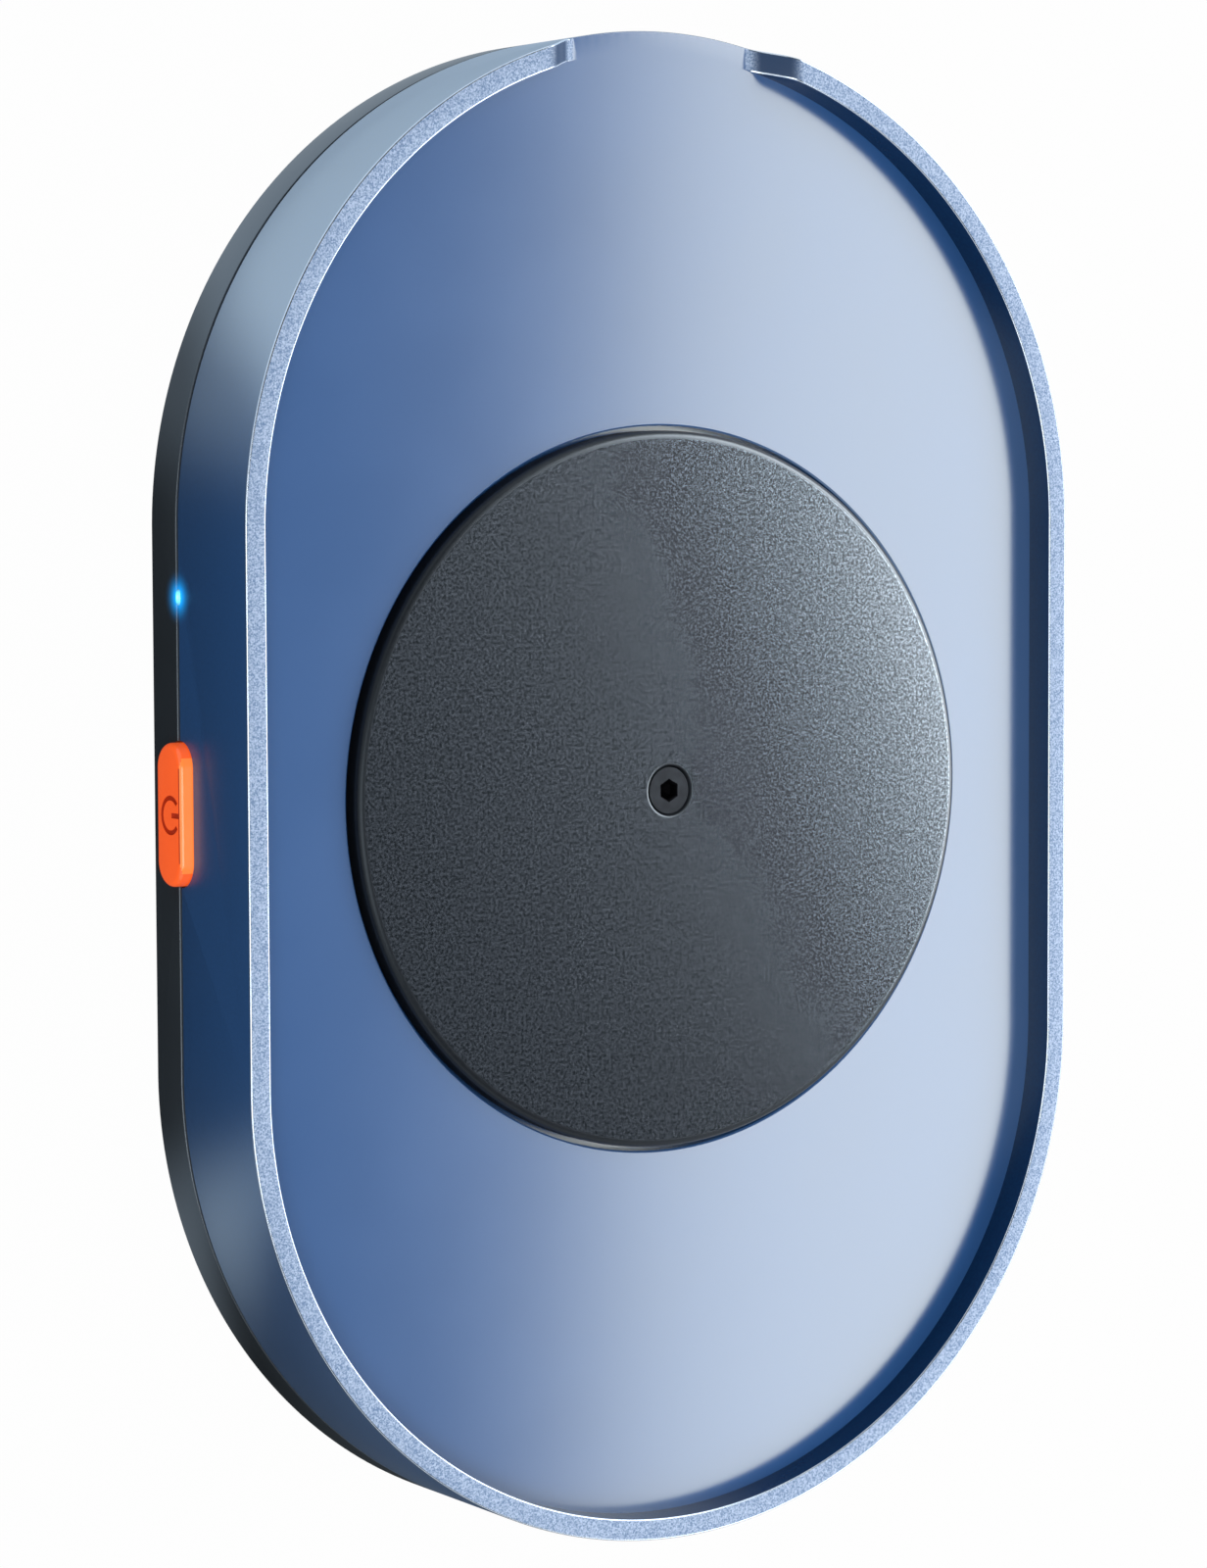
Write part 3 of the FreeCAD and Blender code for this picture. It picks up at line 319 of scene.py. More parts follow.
def linkNoise(tree, scale, detail):
    place = tree.nodes.new("ShaderNodeTexCoord")
    noise = tree.nodes.new("ShaderNodeTexNoise")
    noise.inputs["Scale"].default_value = scale
    noise.inputs["Detail"].default_value = detail
    tree.links.new(place.outputs["Object"], noise.inputs["Vector"])
    return noise.outputs["Fac"]


def linkAxis(tree, axis):
    # how far a point lies along one of the object's own axes
    place = tree.nodes.new("ShaderNodeTexCoord")
    split = tree.nodes.new("ShaderNodeSeparateXYZ")
    tree.links.new(place.outputs["Object"], split.inputs["Vector"])
    return split.outputs[axis]


def newFinish(name, look):
    # mottled colour, uneven roughness and a fine grain
    stuff = bpy.data.materials.new(name)
    stuff.use_nodes = True
    tree = stuff.node_tree
    shader = tree.nodes["Principled BSDF"]
    tint = look.get("tint", (1.0, 1.0, 1.0))
    mottle = linkNoise(tree, look["mottle"], 2.0)
    colours = linkRamp(tree, mottle, [(0.35, look["shade"]), (0.65, look["colour"])])
    tree.links.new(colours, shader.inputs["Base Color"])
    tree.links.new(linkRange(tree, mottle, (0.0, 1.0), look["rough"]), shader.inputs["Roughness"])
    bump = tree.nodes.new("ShaderNodeBump")
    bump.inputs["Strength"].default_value = look["bump"]
    bump.inputs["Distance"].default_value = look["deep"] * mm
    tree.links.new(linkNoise(tree, look["grain"], 3.0), bump.inputs["Height"])
    tree.links.new(bump.outputs["Normal"], shader.inputs["Normal"])
    if "fleck" in look:
        # the grain's hollows reflect less than its tops
        hollows, tops = [[channel * share for channel in tint] for share in look["fleck"]]
        flecks = linkRamp(tree, mottle, [(0.40, hollows), (0.60, tops)])
        tree.links.new(flecks, shader.inputs["Specular Tint"])
    plain = {
        "Metallic": look.get("metal", 0.0),
        "IOR": look.get("ior", 1.5),
        "Specular Tint": (*tint, 1.0),
        "Coat Weight": look.get("coat", 0.0),
        "Coat Roughness": look.get("coatRough", 0.2),
        "Emission Color": (*look.get("glow", (0.0, 0.0, 0.0)), 1.0),
        "Emission Strength": look.get("glowStrength", 0.0),
    }
    for socket, size in plain.items():
        shader.inputs[socket].default_value = size
    return stuff


def addHalo(stuff, look):
    # light that spreads from a lit tip into the surface round it
    tree = stuff.node_tree
    shader = tree.nodes["Principled BSDF"]
    place = tree.nodes.new("ShaderNodeTexCoord")
    away = tree.nodes.new("ShaderNodeVectorMath")
    away.operation = "DISTANCE"
    away.inputs[1].default_value = [size * mm for size in look["place"]]
    tree.links.new(place.outputs["Object"], away.inputs[0])
    fade = linkRange(tree, away.outputs["Value"], (look["core"] * mm, look["reach"] * mm), (1.0, 0.0))
    soft = linkMath(tree, "POWER", fade, look["falloff"])
    strength = linkMath(tree, "MULTIPLY", soft, look["strength"])
    tree.links.new(strength, shader.inputs["Emission Strength"])
    shader.inputs["Emission Color"].default_value = (*look["colour"], 1.0)


def addShadeBand(stuff, look):
    # painted shade: a darker band across a finish, on both sides of the middle plane
    tree = stuff.node_tree
    shader = tree.nodes["Principled BSDF"]
    apart = linkMath(tree, "ABSOLUTE", linkAxis(tree, "X"))
    rise = linkRange(tree, apart, [size * mm for size in look["rise"]], (0.0, 1.0), "SMOOTHSTEP")
    fall = linkRange(tree, apart, [size * mm for size in look["fall"]], (1.0, 0.0), "SMOOTHSTEP")
    mix = tree.nodes.new("ShaderNodeMix")
    mix.data_type = "RGBA"
    tree.links.new(linkMath(tree, "MULTIPLY", rise, fall), mix.inputs["Factor"])
    plainIn, bandIn = [socket for socket in mix.inputs if socket.type == "RGBA"]
    bandIn.default_value = (*look["colour"], 1.0)
    tree.links.new(shader.inputs["Base Color"].links[0].from_socket, plainIn)
    mixed = [socket for socket in mix.outputs if socket.type == "RGBA"][0]
    tree.links.new(mixed, shader.inputs["Base Color"])


def addPaintedSheen(stuff, look):
    # painted reflection: reflections grow stronger along Y, from the straight sides to the round ends
    tree = stuff.node_tree
    apart = linkMath(tree, "ABSOLUTE", linkAxis(tree, "Y"))
    spread = linkRange(tree, apart, [size * mm for size in look["between"]], (0.0, 1.0), "SMOOTHSTEP")
    shades = linkRamp(tree, spread, [(0.0, look["sides"]), (1.0, look["ends"])])
    tree.links.new(shades, tree.nodes["Principled BSDF"].inputs["Specular Tint"])


def dress(node, stuff):
    for holder in frame["nodes"][node].material_slots:
        holder.material = stuff


# tray

tray = {
    "rimWidth": 1.95,
    "edge": 0.14,
    "edgeSteps": 4,
    "skirtWall": 2.2,
    "recessRadius": 32.75,
    "recessEdge": 0.15,
    "webRadius": 34.35,
    "holeRadius": 3.53,
    "seamEdge": 0.1,
    "gapHalf": 9.25,
    "ramp": 4.2,
    "rampSteps": 12,
    "gapFrom": 58.0,  # the rim beyond this Y is cut for the gap
    # radius, lower end, bore radius and bore depth of each kind of post
    "posts": {
        "case": (3.8, 6.2, 1.25, 7.0),
        "plate": (2.5, 7.0, 0.9, 4.0),
        "ear": (2.5, 9.25, 0.9, 2.0),
    },
    "pin": (1.0, 0.9),  # bore radius and depth for the idler's pin
    "satin": {
        "colour": (0.040, 0.138, 0.385), "shade": (0.037, 0.130, 0.365), "mottle": 60.0,
        "rough": (0.18, 0.21), "metal": 0.05, "grain": 4000.0, "bump": 0.02, "deep": 0.01, "ior": 2.7,
        "tint": (0.94, 0.94, 0.79),
    },
    "blasted": {
        "colour": (0.50, 0.62, 0.82), "shade": (0.13, 0.23, 0.42), "mottle": 7000.0,
        "rough": (0.45, 0.6), "grain": 8000.0, "bump": 0.35, "deep": 0.03, "ior": 1.5,
    },
    "cutEdge": {
        "colour": (0.66, 0.76, 0.88), "shade": (0.58, 0.69, 0.83), "mottle": 900.0,
        "rough": (0.20, 0.28), "metal": 1.0, "grain": 9000.0, "bump": 0.02, "deep": 0.005,
    },
    "wall": {
        "colour": (0.013, 0.090, 0.285), "shade": (0.011, 0.080, 0.255), "mottle": 3000.0,
        "rough": (0.33, 0.40), "grain": 5000.0, "bump": 0.12, "deep": 0.02, "ior": 5.4,
    },
    # painted reflection: the outer wall's reflections are tinted weak along the straight sides and
    # strong at the round ends
    "wallPaintedSheen": {"between": (18.0, 44.0), "sides": (0.28, 0.33, 0.36), "ends": (0.86, 0.96, 1.0)},
    # painted shade: a darker copy of the tray's blue on the rim's inner wall, where less light reaches
    "shadedInnerWall": {
        "colour": (0.003, 0.030, 0.092), "shade": (0.003, 0.025, 0.080), "mottle": 3000.0,
        "rough": (0.20, 0.26), "grain": 5000.0, "bump": 0.05, "deep": 0.01, "ior": 1.5,
        "tint": (0.40, 0.62, 1.0),
    },
    # painted shade where the steep part of the gap's ends turns away from the light: soft edges in
    # millimetres along X
    "rampShade": {"rise": (9.6, 10.6), "fall": (12.4, 13.8), "colour": (0.016, 0.055, 0.140)},
}
# where the lit slit's light spreads on tray and base
halo = {
    "place": (-outline["radius"], sidePlaces["light"], heights["parting"]),
    "core": 0.4,
    "reach": 2.8,
    "falloff": 3.2,
    "colour": (0.0, 0.34, 0.92),
    "strength": 1.7,
}


def makeTray():
    rim, floor, low = heights["rim"], heights["floor"], heights["parting"]
    freeHands()
    addStadium(low)
    piece = bpy.context.edit_object
    bpy.ops.mesh.select_mode(type="FACE")
    bpy.ops.mesh.select_all(action="SELECT")
    pullOut(z=rim - low)
    bpy.ops.mesh.inset(thickness=tray["rimWidth"] * mm, depth=0.0)
    pullOut(z=floor - rim)
    # bright edges on both sides of the rim's flat top
    pick("EDGE", lambda e: atHeight(e, rim))
    bpy.ops.mesh.bevel(offset=tray["edge"] * mm, segments=tray["edgeSteps"])
    # hollow underside
    pick("FACE", lambda f: atHeight(f, low) and len(f.verts) > 8)
    bpy.ops.mesh.inset(thickness=tray["skirtWall"] * mm, depth=0.0)
    pullOut(z=heights["ceiling"] - low)
    cleanUp()
    # fine edge along the seam to the base
    pick("EDGE", lambda e: atHeight(e, low) and all(atWall(v) for v in e.verts))
    bpy.ops.mesh.bevel(offset=tray["seamEdge"] * mm, segments=2)
    cutCableGap()
    recess, small, web = tray["recessRadius"], tray["recessEdge"], heights["webUnder"]
    hole = tray["holeRadius"]
    joinByCut(piece, [turnedSolid([(tray["webRadius"], web), (tray["webRadius"], floor - past)],
                                  outline["steps"])], "UNION")
    joinByCut(piece, [turnedSolid([(hole, web - past), (hole, heights["recess"]),
                                   (recess, heights["recess"]), (recess, floor - small),
                                   (recess + small + past, floor + past)], outline["steps"])],
              "DIFFERENCE")
    addTrayPosts(piece)
    return piece


def addTrayPosts(piece):
    # posts that take the case screws, the gear plate's screws and the motor's screws
    root = heights["ceiling"] + 0.1  # posts start inside the floor above them
    kinds = [(footPlaces, "case"), (platePlaces, "plate"), (earPlaces, "ear")]
    for places, kind in kinds:
        radius, low, bore, deep = tray["posts"][kind]
        joinByCut(piece, [pillar(radius, low, root, place) for place in places], "UNION")
        joinByCut(piece, [pillar(bore, low - past, low + deep, place, 24) for place in places],
                  "DIFFERENCE")
    pinBore, pinSeat = tray["pin"]
    web = heights["webUnder"]
    joinByCut(piece, [pillar(pinBore, web - past, web + pinSeat, idlerPlace, 24)], "DIFFERENCE")


def atWall(v):
    # true for a point on the tray's outside wall
    reach = math.hypot(v.co.x, max(0.0, abs(v.co.y) - outline["endCentre"] * mm))
    return abs(reach - outline["radius"] * mm) < 0.02 * mm


def cutCableGap():
    # loops across the rim, then the gap sinks and its ends follow in an S
    half, ramp, steps = tray["gapHalf"], tray["ramp"], tray["rampSteps"]
    for hand in (1, -1):
        for step in range(steps + 1):
            pick("FACE", lambda f: where(f).y > tray["gapFrom"] and
                 abs(where(f).x) < half + 2 * ramp and where(f).z > heights["parting"] - 0.2)
            bpy.ops.mesh.bisect(plane_co=(hand * (half + ramp * step / steps) * mm, 0, 0),
                                plane_no=(1, 0, 0))
    sinkRim()


def fromWall(x, y):
    # how far inside the tray's outside wall a place lies, in millimetres
    return outline["radius"] - math.hypot(x, max(0.0, abs(y) - outline["endCentre"]))


def sinkRim():
    half, ramp = tray["gapHalf"], tray["ramp"]
    floor, rim = heights["floor"], heights["rim"]
    mesh = bpy.context.edit_object.data
    drawn = bmesh.from_edit_mesh(mesh)
    for v in drawn.verts:
        x, y, z = v.co / mm
        if y < tray["gapFrom"] or z < floor + 0.5 or abs(x) >= half + ramp:
            continue
        t = max(0.0, (abs(x) - half) / ramp)
        rise = t * t * (3 - 2 * t)
        if fromWall(x, y) < tray["rimWidth"] / 2:
            v.co.z -= (rim - floor) * (1 - rise) * mm
        else:
            v.co.z = (floor + (z - floor) * rise) * mm
    bmesh.update_edit_mesh(mesh)
    cleanUp()


trayPiece = makeTray()
print("tray modelled:", len(trayPiece.data.polygons), "faces")


def trayZones(piece):
    wear(piece, {"tray_satin": tray["satin"], "tray_blasted": tray["blasted"],
                 "tray_cut_edge": tray["cutEdge"], "tray_wall": tray["wall"],
                 "tray_inner_wall_shaded": tray["shadedInnerWall"], "tray_ramp_shaded": tray["blasted"]})
    stuffs = piece.data.materials
    addHalo(stuffs["tray_wall"], halo)
    addPaintedSheen(stuffs["tray_wall"], tray["wallPaintedSheen"])
    addShadeBand(stuffs["tray_ramp_shaded"], tray["rampShade"])
    floor, wide, edge, half = heights["floor"], tray["rimWidth"], tray["edge"], tray["gapHalf"]
    skin = 0.003  # what lies closer to a wall belongs to the wall

    def reach(f):
        return fromWall(where(f).x, where(f).y)

    def inGap(f):
        return where(f).y > 0 and abs(where(f).x) < half

    def onRim(f):
        return f.normal.z > 0.1 and reach(f) < wide - edge / 2 and where(f).z > floor - 1

    def upright(f, inside):
        # a wall's face, this far inside the outside wall
        return abs(f.normal.z) < 0.3 and abs(reach(f) - inside) < 0.05

    paintFaces(piece, "tray_blasted", lambda f: onRim(f) and not inGap(f))
    # the ramps take the blasted finish with a band of painted shade
    paintFaces(piece, "tray_ramp_shaded", lambda f: onRim(f) and where(f).y > 0 and
               half < abs(where(f).x) < half + tray["ramp"] + 0.5)
    paintFaces(piece, "tray_wall", lambda f: upright(f, 0.0))
    paintFaces(piece, "tray_inner_wall_shaded", lambda f: upright(f, wide) and where(f).z > floor)
    # the two narrow cut edges beside the rim's flat top
    paintFaces(piece, "tray_cut_edge", lambda f: where(f).z > floor + 0.1 and not inGap(f) and (
        skin < reach(f) < edge or wide - edge < reach(f) < wide - skin))


trayZones(trayPiece)
finishPiece(trayPiece, "tray", "housing", "tray_shell")


# black base

baseTub = {
    "chamfer": 0.8,
    "wall": 3.2,
    "inside": 2.4,
    "lipInset": 2.3,
    "lipHeight": 1.3,
    "seamEdge": 0.1,
    "groove": (0.6, 0.4),  # depth and height of the shadow line under the tray
    "postRadius": 3.8,
    "screwBore": 1.45,
    "headBore": (2.6, 3.2),  # radius, and the height of the head's seat
    "footSocket": (5.15, 1.6),  # radius and top
    "boardPost": (2.5, 3.57),
    "boardPin": 1.02,
    "meltedHead": (1.7, 4.57, 5.07),  # radius, underside and top
    "ribHeight": 0.9,
    "ribHalf": 0.6,
    # middle line and half length of each rib across the floor
    "ribs": [(-42.0, 27.5), (-9.0, 40.8), (14.0, 40.8), (42.0, 27.5)],
    # rooms in the wall behind the button, the light and the socket
    "rooms": [
        ((-41.8, -37.6), (-8.25, 6.65), (2.75, 8.8)),
        ((-41.8, -37.6), (16.3, 19.7), (4.9, 8.8)),
        ((-4.72, 4.72), (61.35, 65.55), (3.57, 8.8)),
    ],
    "plastic": {
        "colour": (0.012, 0.015, 0.018), "shade": (0.009, 0.011, 0.013), "mottle": 90.0,
        "rough": (0.34, 0.42), "grain": 5000.0, "bump": 0.12, "deep": 0.015, "ior": 2.45,
        "tint": (0.75, 0.88, 1.0),
    },
}


def makeBase():
    low, top = heights["foot"], heights["parting"]
    edge = baseTub["chamfer"]
    freeHands()
    addStadium(low + edge)
    piece = bpy.context.edit_object
    bpy.ops.mesh.select_mode(type="FACE")
    bpy.ops.mesh.select_all(action="SELECT")
    grooveDeep, grooveHigh = baseTub["groove"]
    pullOut(z=top - low - edge - grooveHigh)
    bpy.ops.mesh.inset(thickness=grooveDeep * mm, depth=0.0)
    pullOut(z=grooveHigh)
    bpy.ops.mesh.inset(thickness=(baseTub["lipInset"] - grooveDeep) * mm, depth=0.0)
    pullOut(z=baseTub["lipHeight"])
    bpy.ops.mesh.inset(thickness=(baseTub["wall"] - baseTub["lipInset"]) * mm, depth=0.0)
    pullOut(z=baseTub["inside"] - top - baseTub["lipHeight"])
    pick("FACE", lambda f: atHeight(f, low + edge))
    bpy.ops.mesh.normals_make_consistent(inside=False)
    pick("FACE", lambda f: atHeight(f, low + edge) and len(f.verts) > 8)
    bpy.ops.mesh.inset(thickness=edge * mm, depth=0.0)
    slide(z=-edge)
    cleanUp()
    pick("EDGE", lambda e: atHeight(e, top - grooveHigh) and all(atWall(v) for v in e.verts))
    bpy.ops.mesh.bevel(offset=baseTub["seamEdge"] * mm, segments=2)
    freeHands()
    fitBaseInside(piece)
    return piece


def fitBaseInside(piece):
    inside, low, top = baseTub["inside"], heights["foot"], heights["parting"]
    root, half = inside - 0.2, baseTub["ribHalf"]  # ribs and posts start inside the floor
    for y, reach in baseTub["ribs"]:
        joinByCut(piece, [slab((-reach, reach), (y - half, y + half),
                               (root, inside + baseTub["ribHeight"]))], "UNION")
    joinByCut(piece, [pillar(baseTub["postRadius"], root, top, place) for place in footPlaces], "UNION")
    postRadius, postTop = baseTub["boardPost"]
    pinRadius = baseTub["boardPin"]
    headRadius, headLow, headTop = baseTub["meltedHead"]
    for place in boardPlaces:
        joinByCut(piece, [turnedSolid([(postRadius, root), (postRadius, postTop), (pinRadius, postTop),
                                       (pinRadius, headLow), (headRadius, headLow),
                                       (headRadius, headTop)], 48, place)], "UNION")
    for place in footPlaces:
        socketRadius, socketTop = baseTub["footSocket"]
        headBore, seat = baseTub["headBore"]
        bore = baseTub["screwBore"]
        joinByCut(piece, [turnedSolid([(socketRadius, low - past), (socketRadius, socketTop),
                                       (headBore, socketTop), (headBore, seat), (bore, seat),
                                       (bore, top + past)], 64, place)], "DIFFERENCE")
    joinByCut(piece, [slab(*room) for room in baseTub["rooms"]], "DIFFERENCE")


basePiece = makeBase()
print("base modelled:", len(basePiece.data.polygons), "faces")
wear(basePiece, {"base_black": baseTub["plastic"]})
addHalo(basePiece.data.materials["base_black"], halo)
finishPiece(basePiece, "base", "housing", "base_shell")


# turntable disc

disc = {
    "radius": 32.3,
    "top": 16.65,
    "under": 14.3,
    "round": 0.7,
    "roundSteps": 8,
    "bore": 1.35,
    "boreTop": 1.05,  # below the disc's face, where the countersink starts
    "sink": 2.3,
    "sinkEdge": [(0.0, 0.1), (0.02, 0.03), (0.1, 0.0), (0.2, 0.0)],  # out from the sink, and down
    "steps": 256,
    "skin": 1.3,
    "rim": 1.8,
    "lowEdge": 0.15,
    "hub": 7.5,
    "spokes": 8,
    "spokeHalf": 0.6,
    "spokeLap": 0.9,  # how far a spoke runs into hub and rim
    "seat": (4.08, 3.08, 0.9),  # radius, half width over the flats, and depth
    "plastic": {
        "colour": (0.015, 0.018, 0.024), "shade": (0.001, 0.002, 0.003), "mottle": 3900.0,
        "rough": (0.16, 0.21), "grain": 5200.0, "bump": 0.2, "deep": 0.02, "ior": 2.4,
        "tint": (0.74, 0.87, 1.0), "fleck": (0.5, 1.0),
    },
    # painted shade: a darker, less reflective copy of the disc's plastic on its rounded edge and side
    # and in the countersink, which keeps the side dark and the edge's highlight faint
    "dimEdgePlastic": {
        "colour": (0.006, 0.007, 0.009), "shade": (0.004, 0.005, 0.007), "mottle": 3000.0,
        "rough": (0.34, 0.42), "grain": 6500.0, "bump": 0.3, "deep": 0.02, "ior": 1.42,
        "tint": (0.72, 0.87, 1.0),
    },
}


def makeDisc():
    top, under, radius, roundEdge = disc["top"], disc["under"], disc["radius"], disc["round"]
    lowEdge = disc["lowEdge"]
    rings = [(disc["bore"], under), (disc["bore"], top - disc["boreTop"])]
    rings += [(disc["sink"] + out, top - down) for out, down in disc["sinkEdge"]]
    rings += [(radius - roundEdge - 0.1, top)]  # keeps the flat top apart from the rounding's shade
    for step in range(disc["roundSteps"] + 1):
        turn = math.pi / 2 * step / disc["roundSteps"]
        rings.append((radius - roundEdge + roundEdge * math.sin(turn),
                      top - roundEdge + roundEdge * math.cos(turn)))
    inner, hub, skin = radius - disc["rim"], disc["hub"], top - disc["skin"]
    rings += [(radius, under + lowEdge), (radius - lowEdge, under), (inner, under),
              (inner, skin), (hub, skin), (hub, under), (disc["bore"], under)]
    freeHands()
    addRing(*rings[0], disc["steps"])
    piece = bpy.context.edit_object
    growRings(rings)
    cleanUp()
    half, lap = disc["spokeHalf"], disc["spokeLap"]
    for spoke in range(disc["spokes"]):
        bar = slab((hub - lap, inner + lap), (-half, half), (under, skin + 0.1))
        holdOnly(bar)
        bar.rotation_euler.z = 2 * math.pi * spoke / disc["spokes"]
        bpy.ops.object.transform_apply(location=True, rotation=True, scale=True)
        joinByCut(piece, [bar], "UNION")
    joinByCut(piece, [spindleSeat()], "DIFFERENCE")
    return piece


def spindleSeat():
    # a round plug with two flats, which leaves the seat of the spindle's head
    seatRadius, flat, deep = disc["seat"]
    under = disc["under"]
    plug = turnedSolid([(seatRadius, under - past), (seatRadius, under + deep)], 64)
    editPiece(plug)
    for side in (1, -1):
        pick("VERT", lambda v: where(v).y * side > flat - 0.02)
        bpy.ops.transform.resize(value=(1.0, 0.0, 1.0), center_override=(0, side * flat * mm, 0))
    freeHands()
    return plug


discPiece = makeDisc()
print("disc modelled:", len(discPiece.data.polygons), "faces")
wear(discPiece, {"disc_grained": disc["plastic"], "disc_edge": disc["dimEdgePlastic"]})
# the darker, less reflective copy is painted shade on all but the flat top ring
paintFaces(discPiece, "disc_edge", lambda f: not (
    disc["sink"] + 0.15 < math.hypot(where(f).x, where(f).y) < disc["radius"] - disc["round"] + 0.05))
finishPiece(discPiece, "disc", "turntable", "turntable_disc", angle=40)


# screw in the middle of the disc

centreScrew = {
    "rings": [(0.85, 10.95), (1.25, 11.35), (1.25, 15.6), (2.12, 16.47), (2.12, 16.5), (2.06, 16.55)],
    "socket": 1.65,  # across the flats
    "socketDepth": 1.1,
    "drillPoint": (0.2, 0.4),  # radius at its end, and its depth below the socket
    "mouth": 0.12,
    "shadeRadius": 1.1,  # inside it the socket takes painted shade
    "steps": 96,
    "steel": {
        "colour": (0.008, 0.010, 0.013), "shade": (0.005, 0.006, 0.008), "mottle": 900.0,
        "rough": (0.30, 0.42), "grain": 6000.0, "bump": 0.1, "deep": 0.01, "ior": 1.2,
        "tint": (0.8, 0.9, 1.0),
    },
    # painted shade: a darker, rougher copy of the steel inside the hex socket
    "socketShade": {
        "colour": (0.003, 0.003, 0.004), "shade": (0.002, 0.002, 0.003), "mottle": 900.0,
        "rough": (0.6, 0.7), "grain": 6000.0, "bump": 0.1, "deep": 0.01, "ior": 1.1,
    },
}


def makeCentreScrew():
    rings = centreScrew["rings"]
    piece = turnedSolid(rings, centreScrew["steps"])
    corner = centreScrew["socket"] / math.sqrt(3)
    top, depth, mouth = rings[-1][1], centreScrew["socketDepth"], centreScrew["mouth"]
    pointRadius, pointDeep = centreScrew["drillPoint"]
    socket = turnedSolid([(pointRadius, top - depth - pointDeep), (corner, top - depth),
                          (corner, top - mouth), (corner + 2 * mouth, top + mouth)], 6)
    holdOnly(socket)
    bpy.ops.transform.rotate(value=math.radians(30), orient_axis="Z", center_override=(0, 0, 0))
    bpy.ops.object.transform_apply(location=True, rotation=True, scale=True)
    joinByCut(piece, [socket], "DIFFERENCE")
    return piece


screwPiece = makeCentreScrew()
wear(screwPiece, {"screw_black": centreScrew["steel"], "screw_socket_shade": centreScrew["socketShade"]})
screwTop = centreScrew["rings"][-1][1]
screwLow = screwTop - centreScrew["socketDepth"] - centreScrew["drillPoint"][1]
paintFaces(screwPiece, "screw_socket_shade", lambda f: screwLow - near < where(f).z < screwTop - near and
           math.hypot(where(f).x, where(f).y) < centreScrew["shadeRadius"])
finishPiece(screwPiece, "centre_screw", "turntable", "disc_screw")
print("screw modelled:", len(screwPiece.data.polygons), "faces")


# power button

button = {
    "y": sidePlaces["button"],
    "length": 12.5,
    "height": 4.5,
    "face": -45.2,
    "flangeFace": -41.7,
    "back": -40.9,
    "flange": 0.9,
    "round": 0.5,
    "roundSteps": 6,
    "markRadius": (1.3, 1.72),  # the ring's inside and outside
    "markGap": 38.0,  # half the ring's opening, in degrees
    "markDepth": 0.3,
    "markOut": 0.5,  # how far the cutters stand out of the face
    "markLift": 0.4,  # the mark's middle above the seam
    "barWidth": 0.46,
    "barReach": (0.2, 1.5),  # the bar's ends above the mark's middle
    "markPaint": 1.9,  # radius round its middle that takes the mark's painted shade
    "litFlankFrom": 0.45,  # where the painted highlight starts: share of the height above the seam, and least upward slant
    # painted light: the orange is given a faint glow that brightens the button's face
    "plastic": {
        "colour": (1.0, 0.13, 0.02), "shade": (0.97, 0.118, 0.016), "mottle": 200.0,
        "rough": (0.20, 0.26), "grain": 3000.0, "bump": 0.03, "deep": 0.01, "coat": 0.5,
        "coatRough": 0.08, "glow": (1.0, 0.115, 0.018), "glowStrength": 0.56,
    },
    # painted highlight: a paler, glossier, brighter-glowing copy of the orange on the button's upper
    # flank, where the light falls
    "litFlankPlastic": {
        "colour": (1.0, 0.27, 0.06), "shade": (0.97, 0.25, 0.05), "mottle": 200.0,
        "rough": (0.14, 0.20), "grain": 3000.0, "bump": 0.03, "deep": 0.01, "coat": 0.6,
        "coatRough": 0.08, "glow": (1.0, 0.20, 0.03), "glowStrength": 0.6,
    },
    # painted shade: a darker, dimmer-glowing copy of the orange in the mark's recess
    "mark": {
        "colour": (0.45, 0.035, 0.008), "shade": (0.38, 0.028, 0.006), "mottle": 400.0,
        "rough": (0.4, 0.5), "grain": 3000.0, "bump": 0.05, "deep": 0.01,
        "glow": (0.40, 0.03, 0.006), "glowStrength": 0.35,
    },
}


def makeButton():
    y, face = button["y"], button["face"]
    piece = sideBar(button["height"], button["length"], y, face, button["back"])
    editPiece(piece)
    pick("EDGE", lambda e: abs(where(e).x - face) < near)
    bpy.ops.mesh.bevel(offset=button["round"] * mm, segments=button["roundSteps"])
    wide = 2 * button["flange"]
    joinByCut(piece, [sideBar(button["height"] + wide, button["length"] + wide, y,
                              button["flangeFace"], button["back"])], "UNION")
    joinByCut(piece, [markRing(), markBar()], "DIFFERENCE")
    return piece


def markHeight():
    return heights["parting"] + button["markLift"]


def markRing():
    # the open ring of the power mark, its gap upward
    inner, outer = button["markRadius"]
    gap = math.radians(button["markGap"])
    start = ((button["face"] - button["markOut"]) * mm, button["y"] * mm, markHeight() * mm)
    freeHands()
    bpy.ops.mesh.primitive_circle_add(vertices=72, radius=inner * mm, rotation=(0, math.pi / 2, 0),
                                      location=start)
    openAll()
    pick("VERT", lambda v: abs(math.atan2(where(v).y - button["y"], where(v).z - markHeight())) < gap)
    bpy.ops.mesh.delete(type="VERT")
    bpy.ops.mesh.select_all(action="SELECT")
    bpy.ops.mesh.extrude_region_move()
    bpy.ops.transform.resize(value=(1.0, outer / inner, outer / inner), center_override=start)
    bpy.ops.mesh.select_all(action="SELECT")
    pullOut(x=button["markOut"] + button["markDepth"])
    return closeSolid()


def markBar():
    low, high = button["barReach"]
    half = button["barWidth"] / 2
    return slab((button["face"] - button["markOut"], button["face"] + button["markDepth"]),
                (button["y"] - half, button["y"] + half), (markHeight() + low, markHeight() + high))


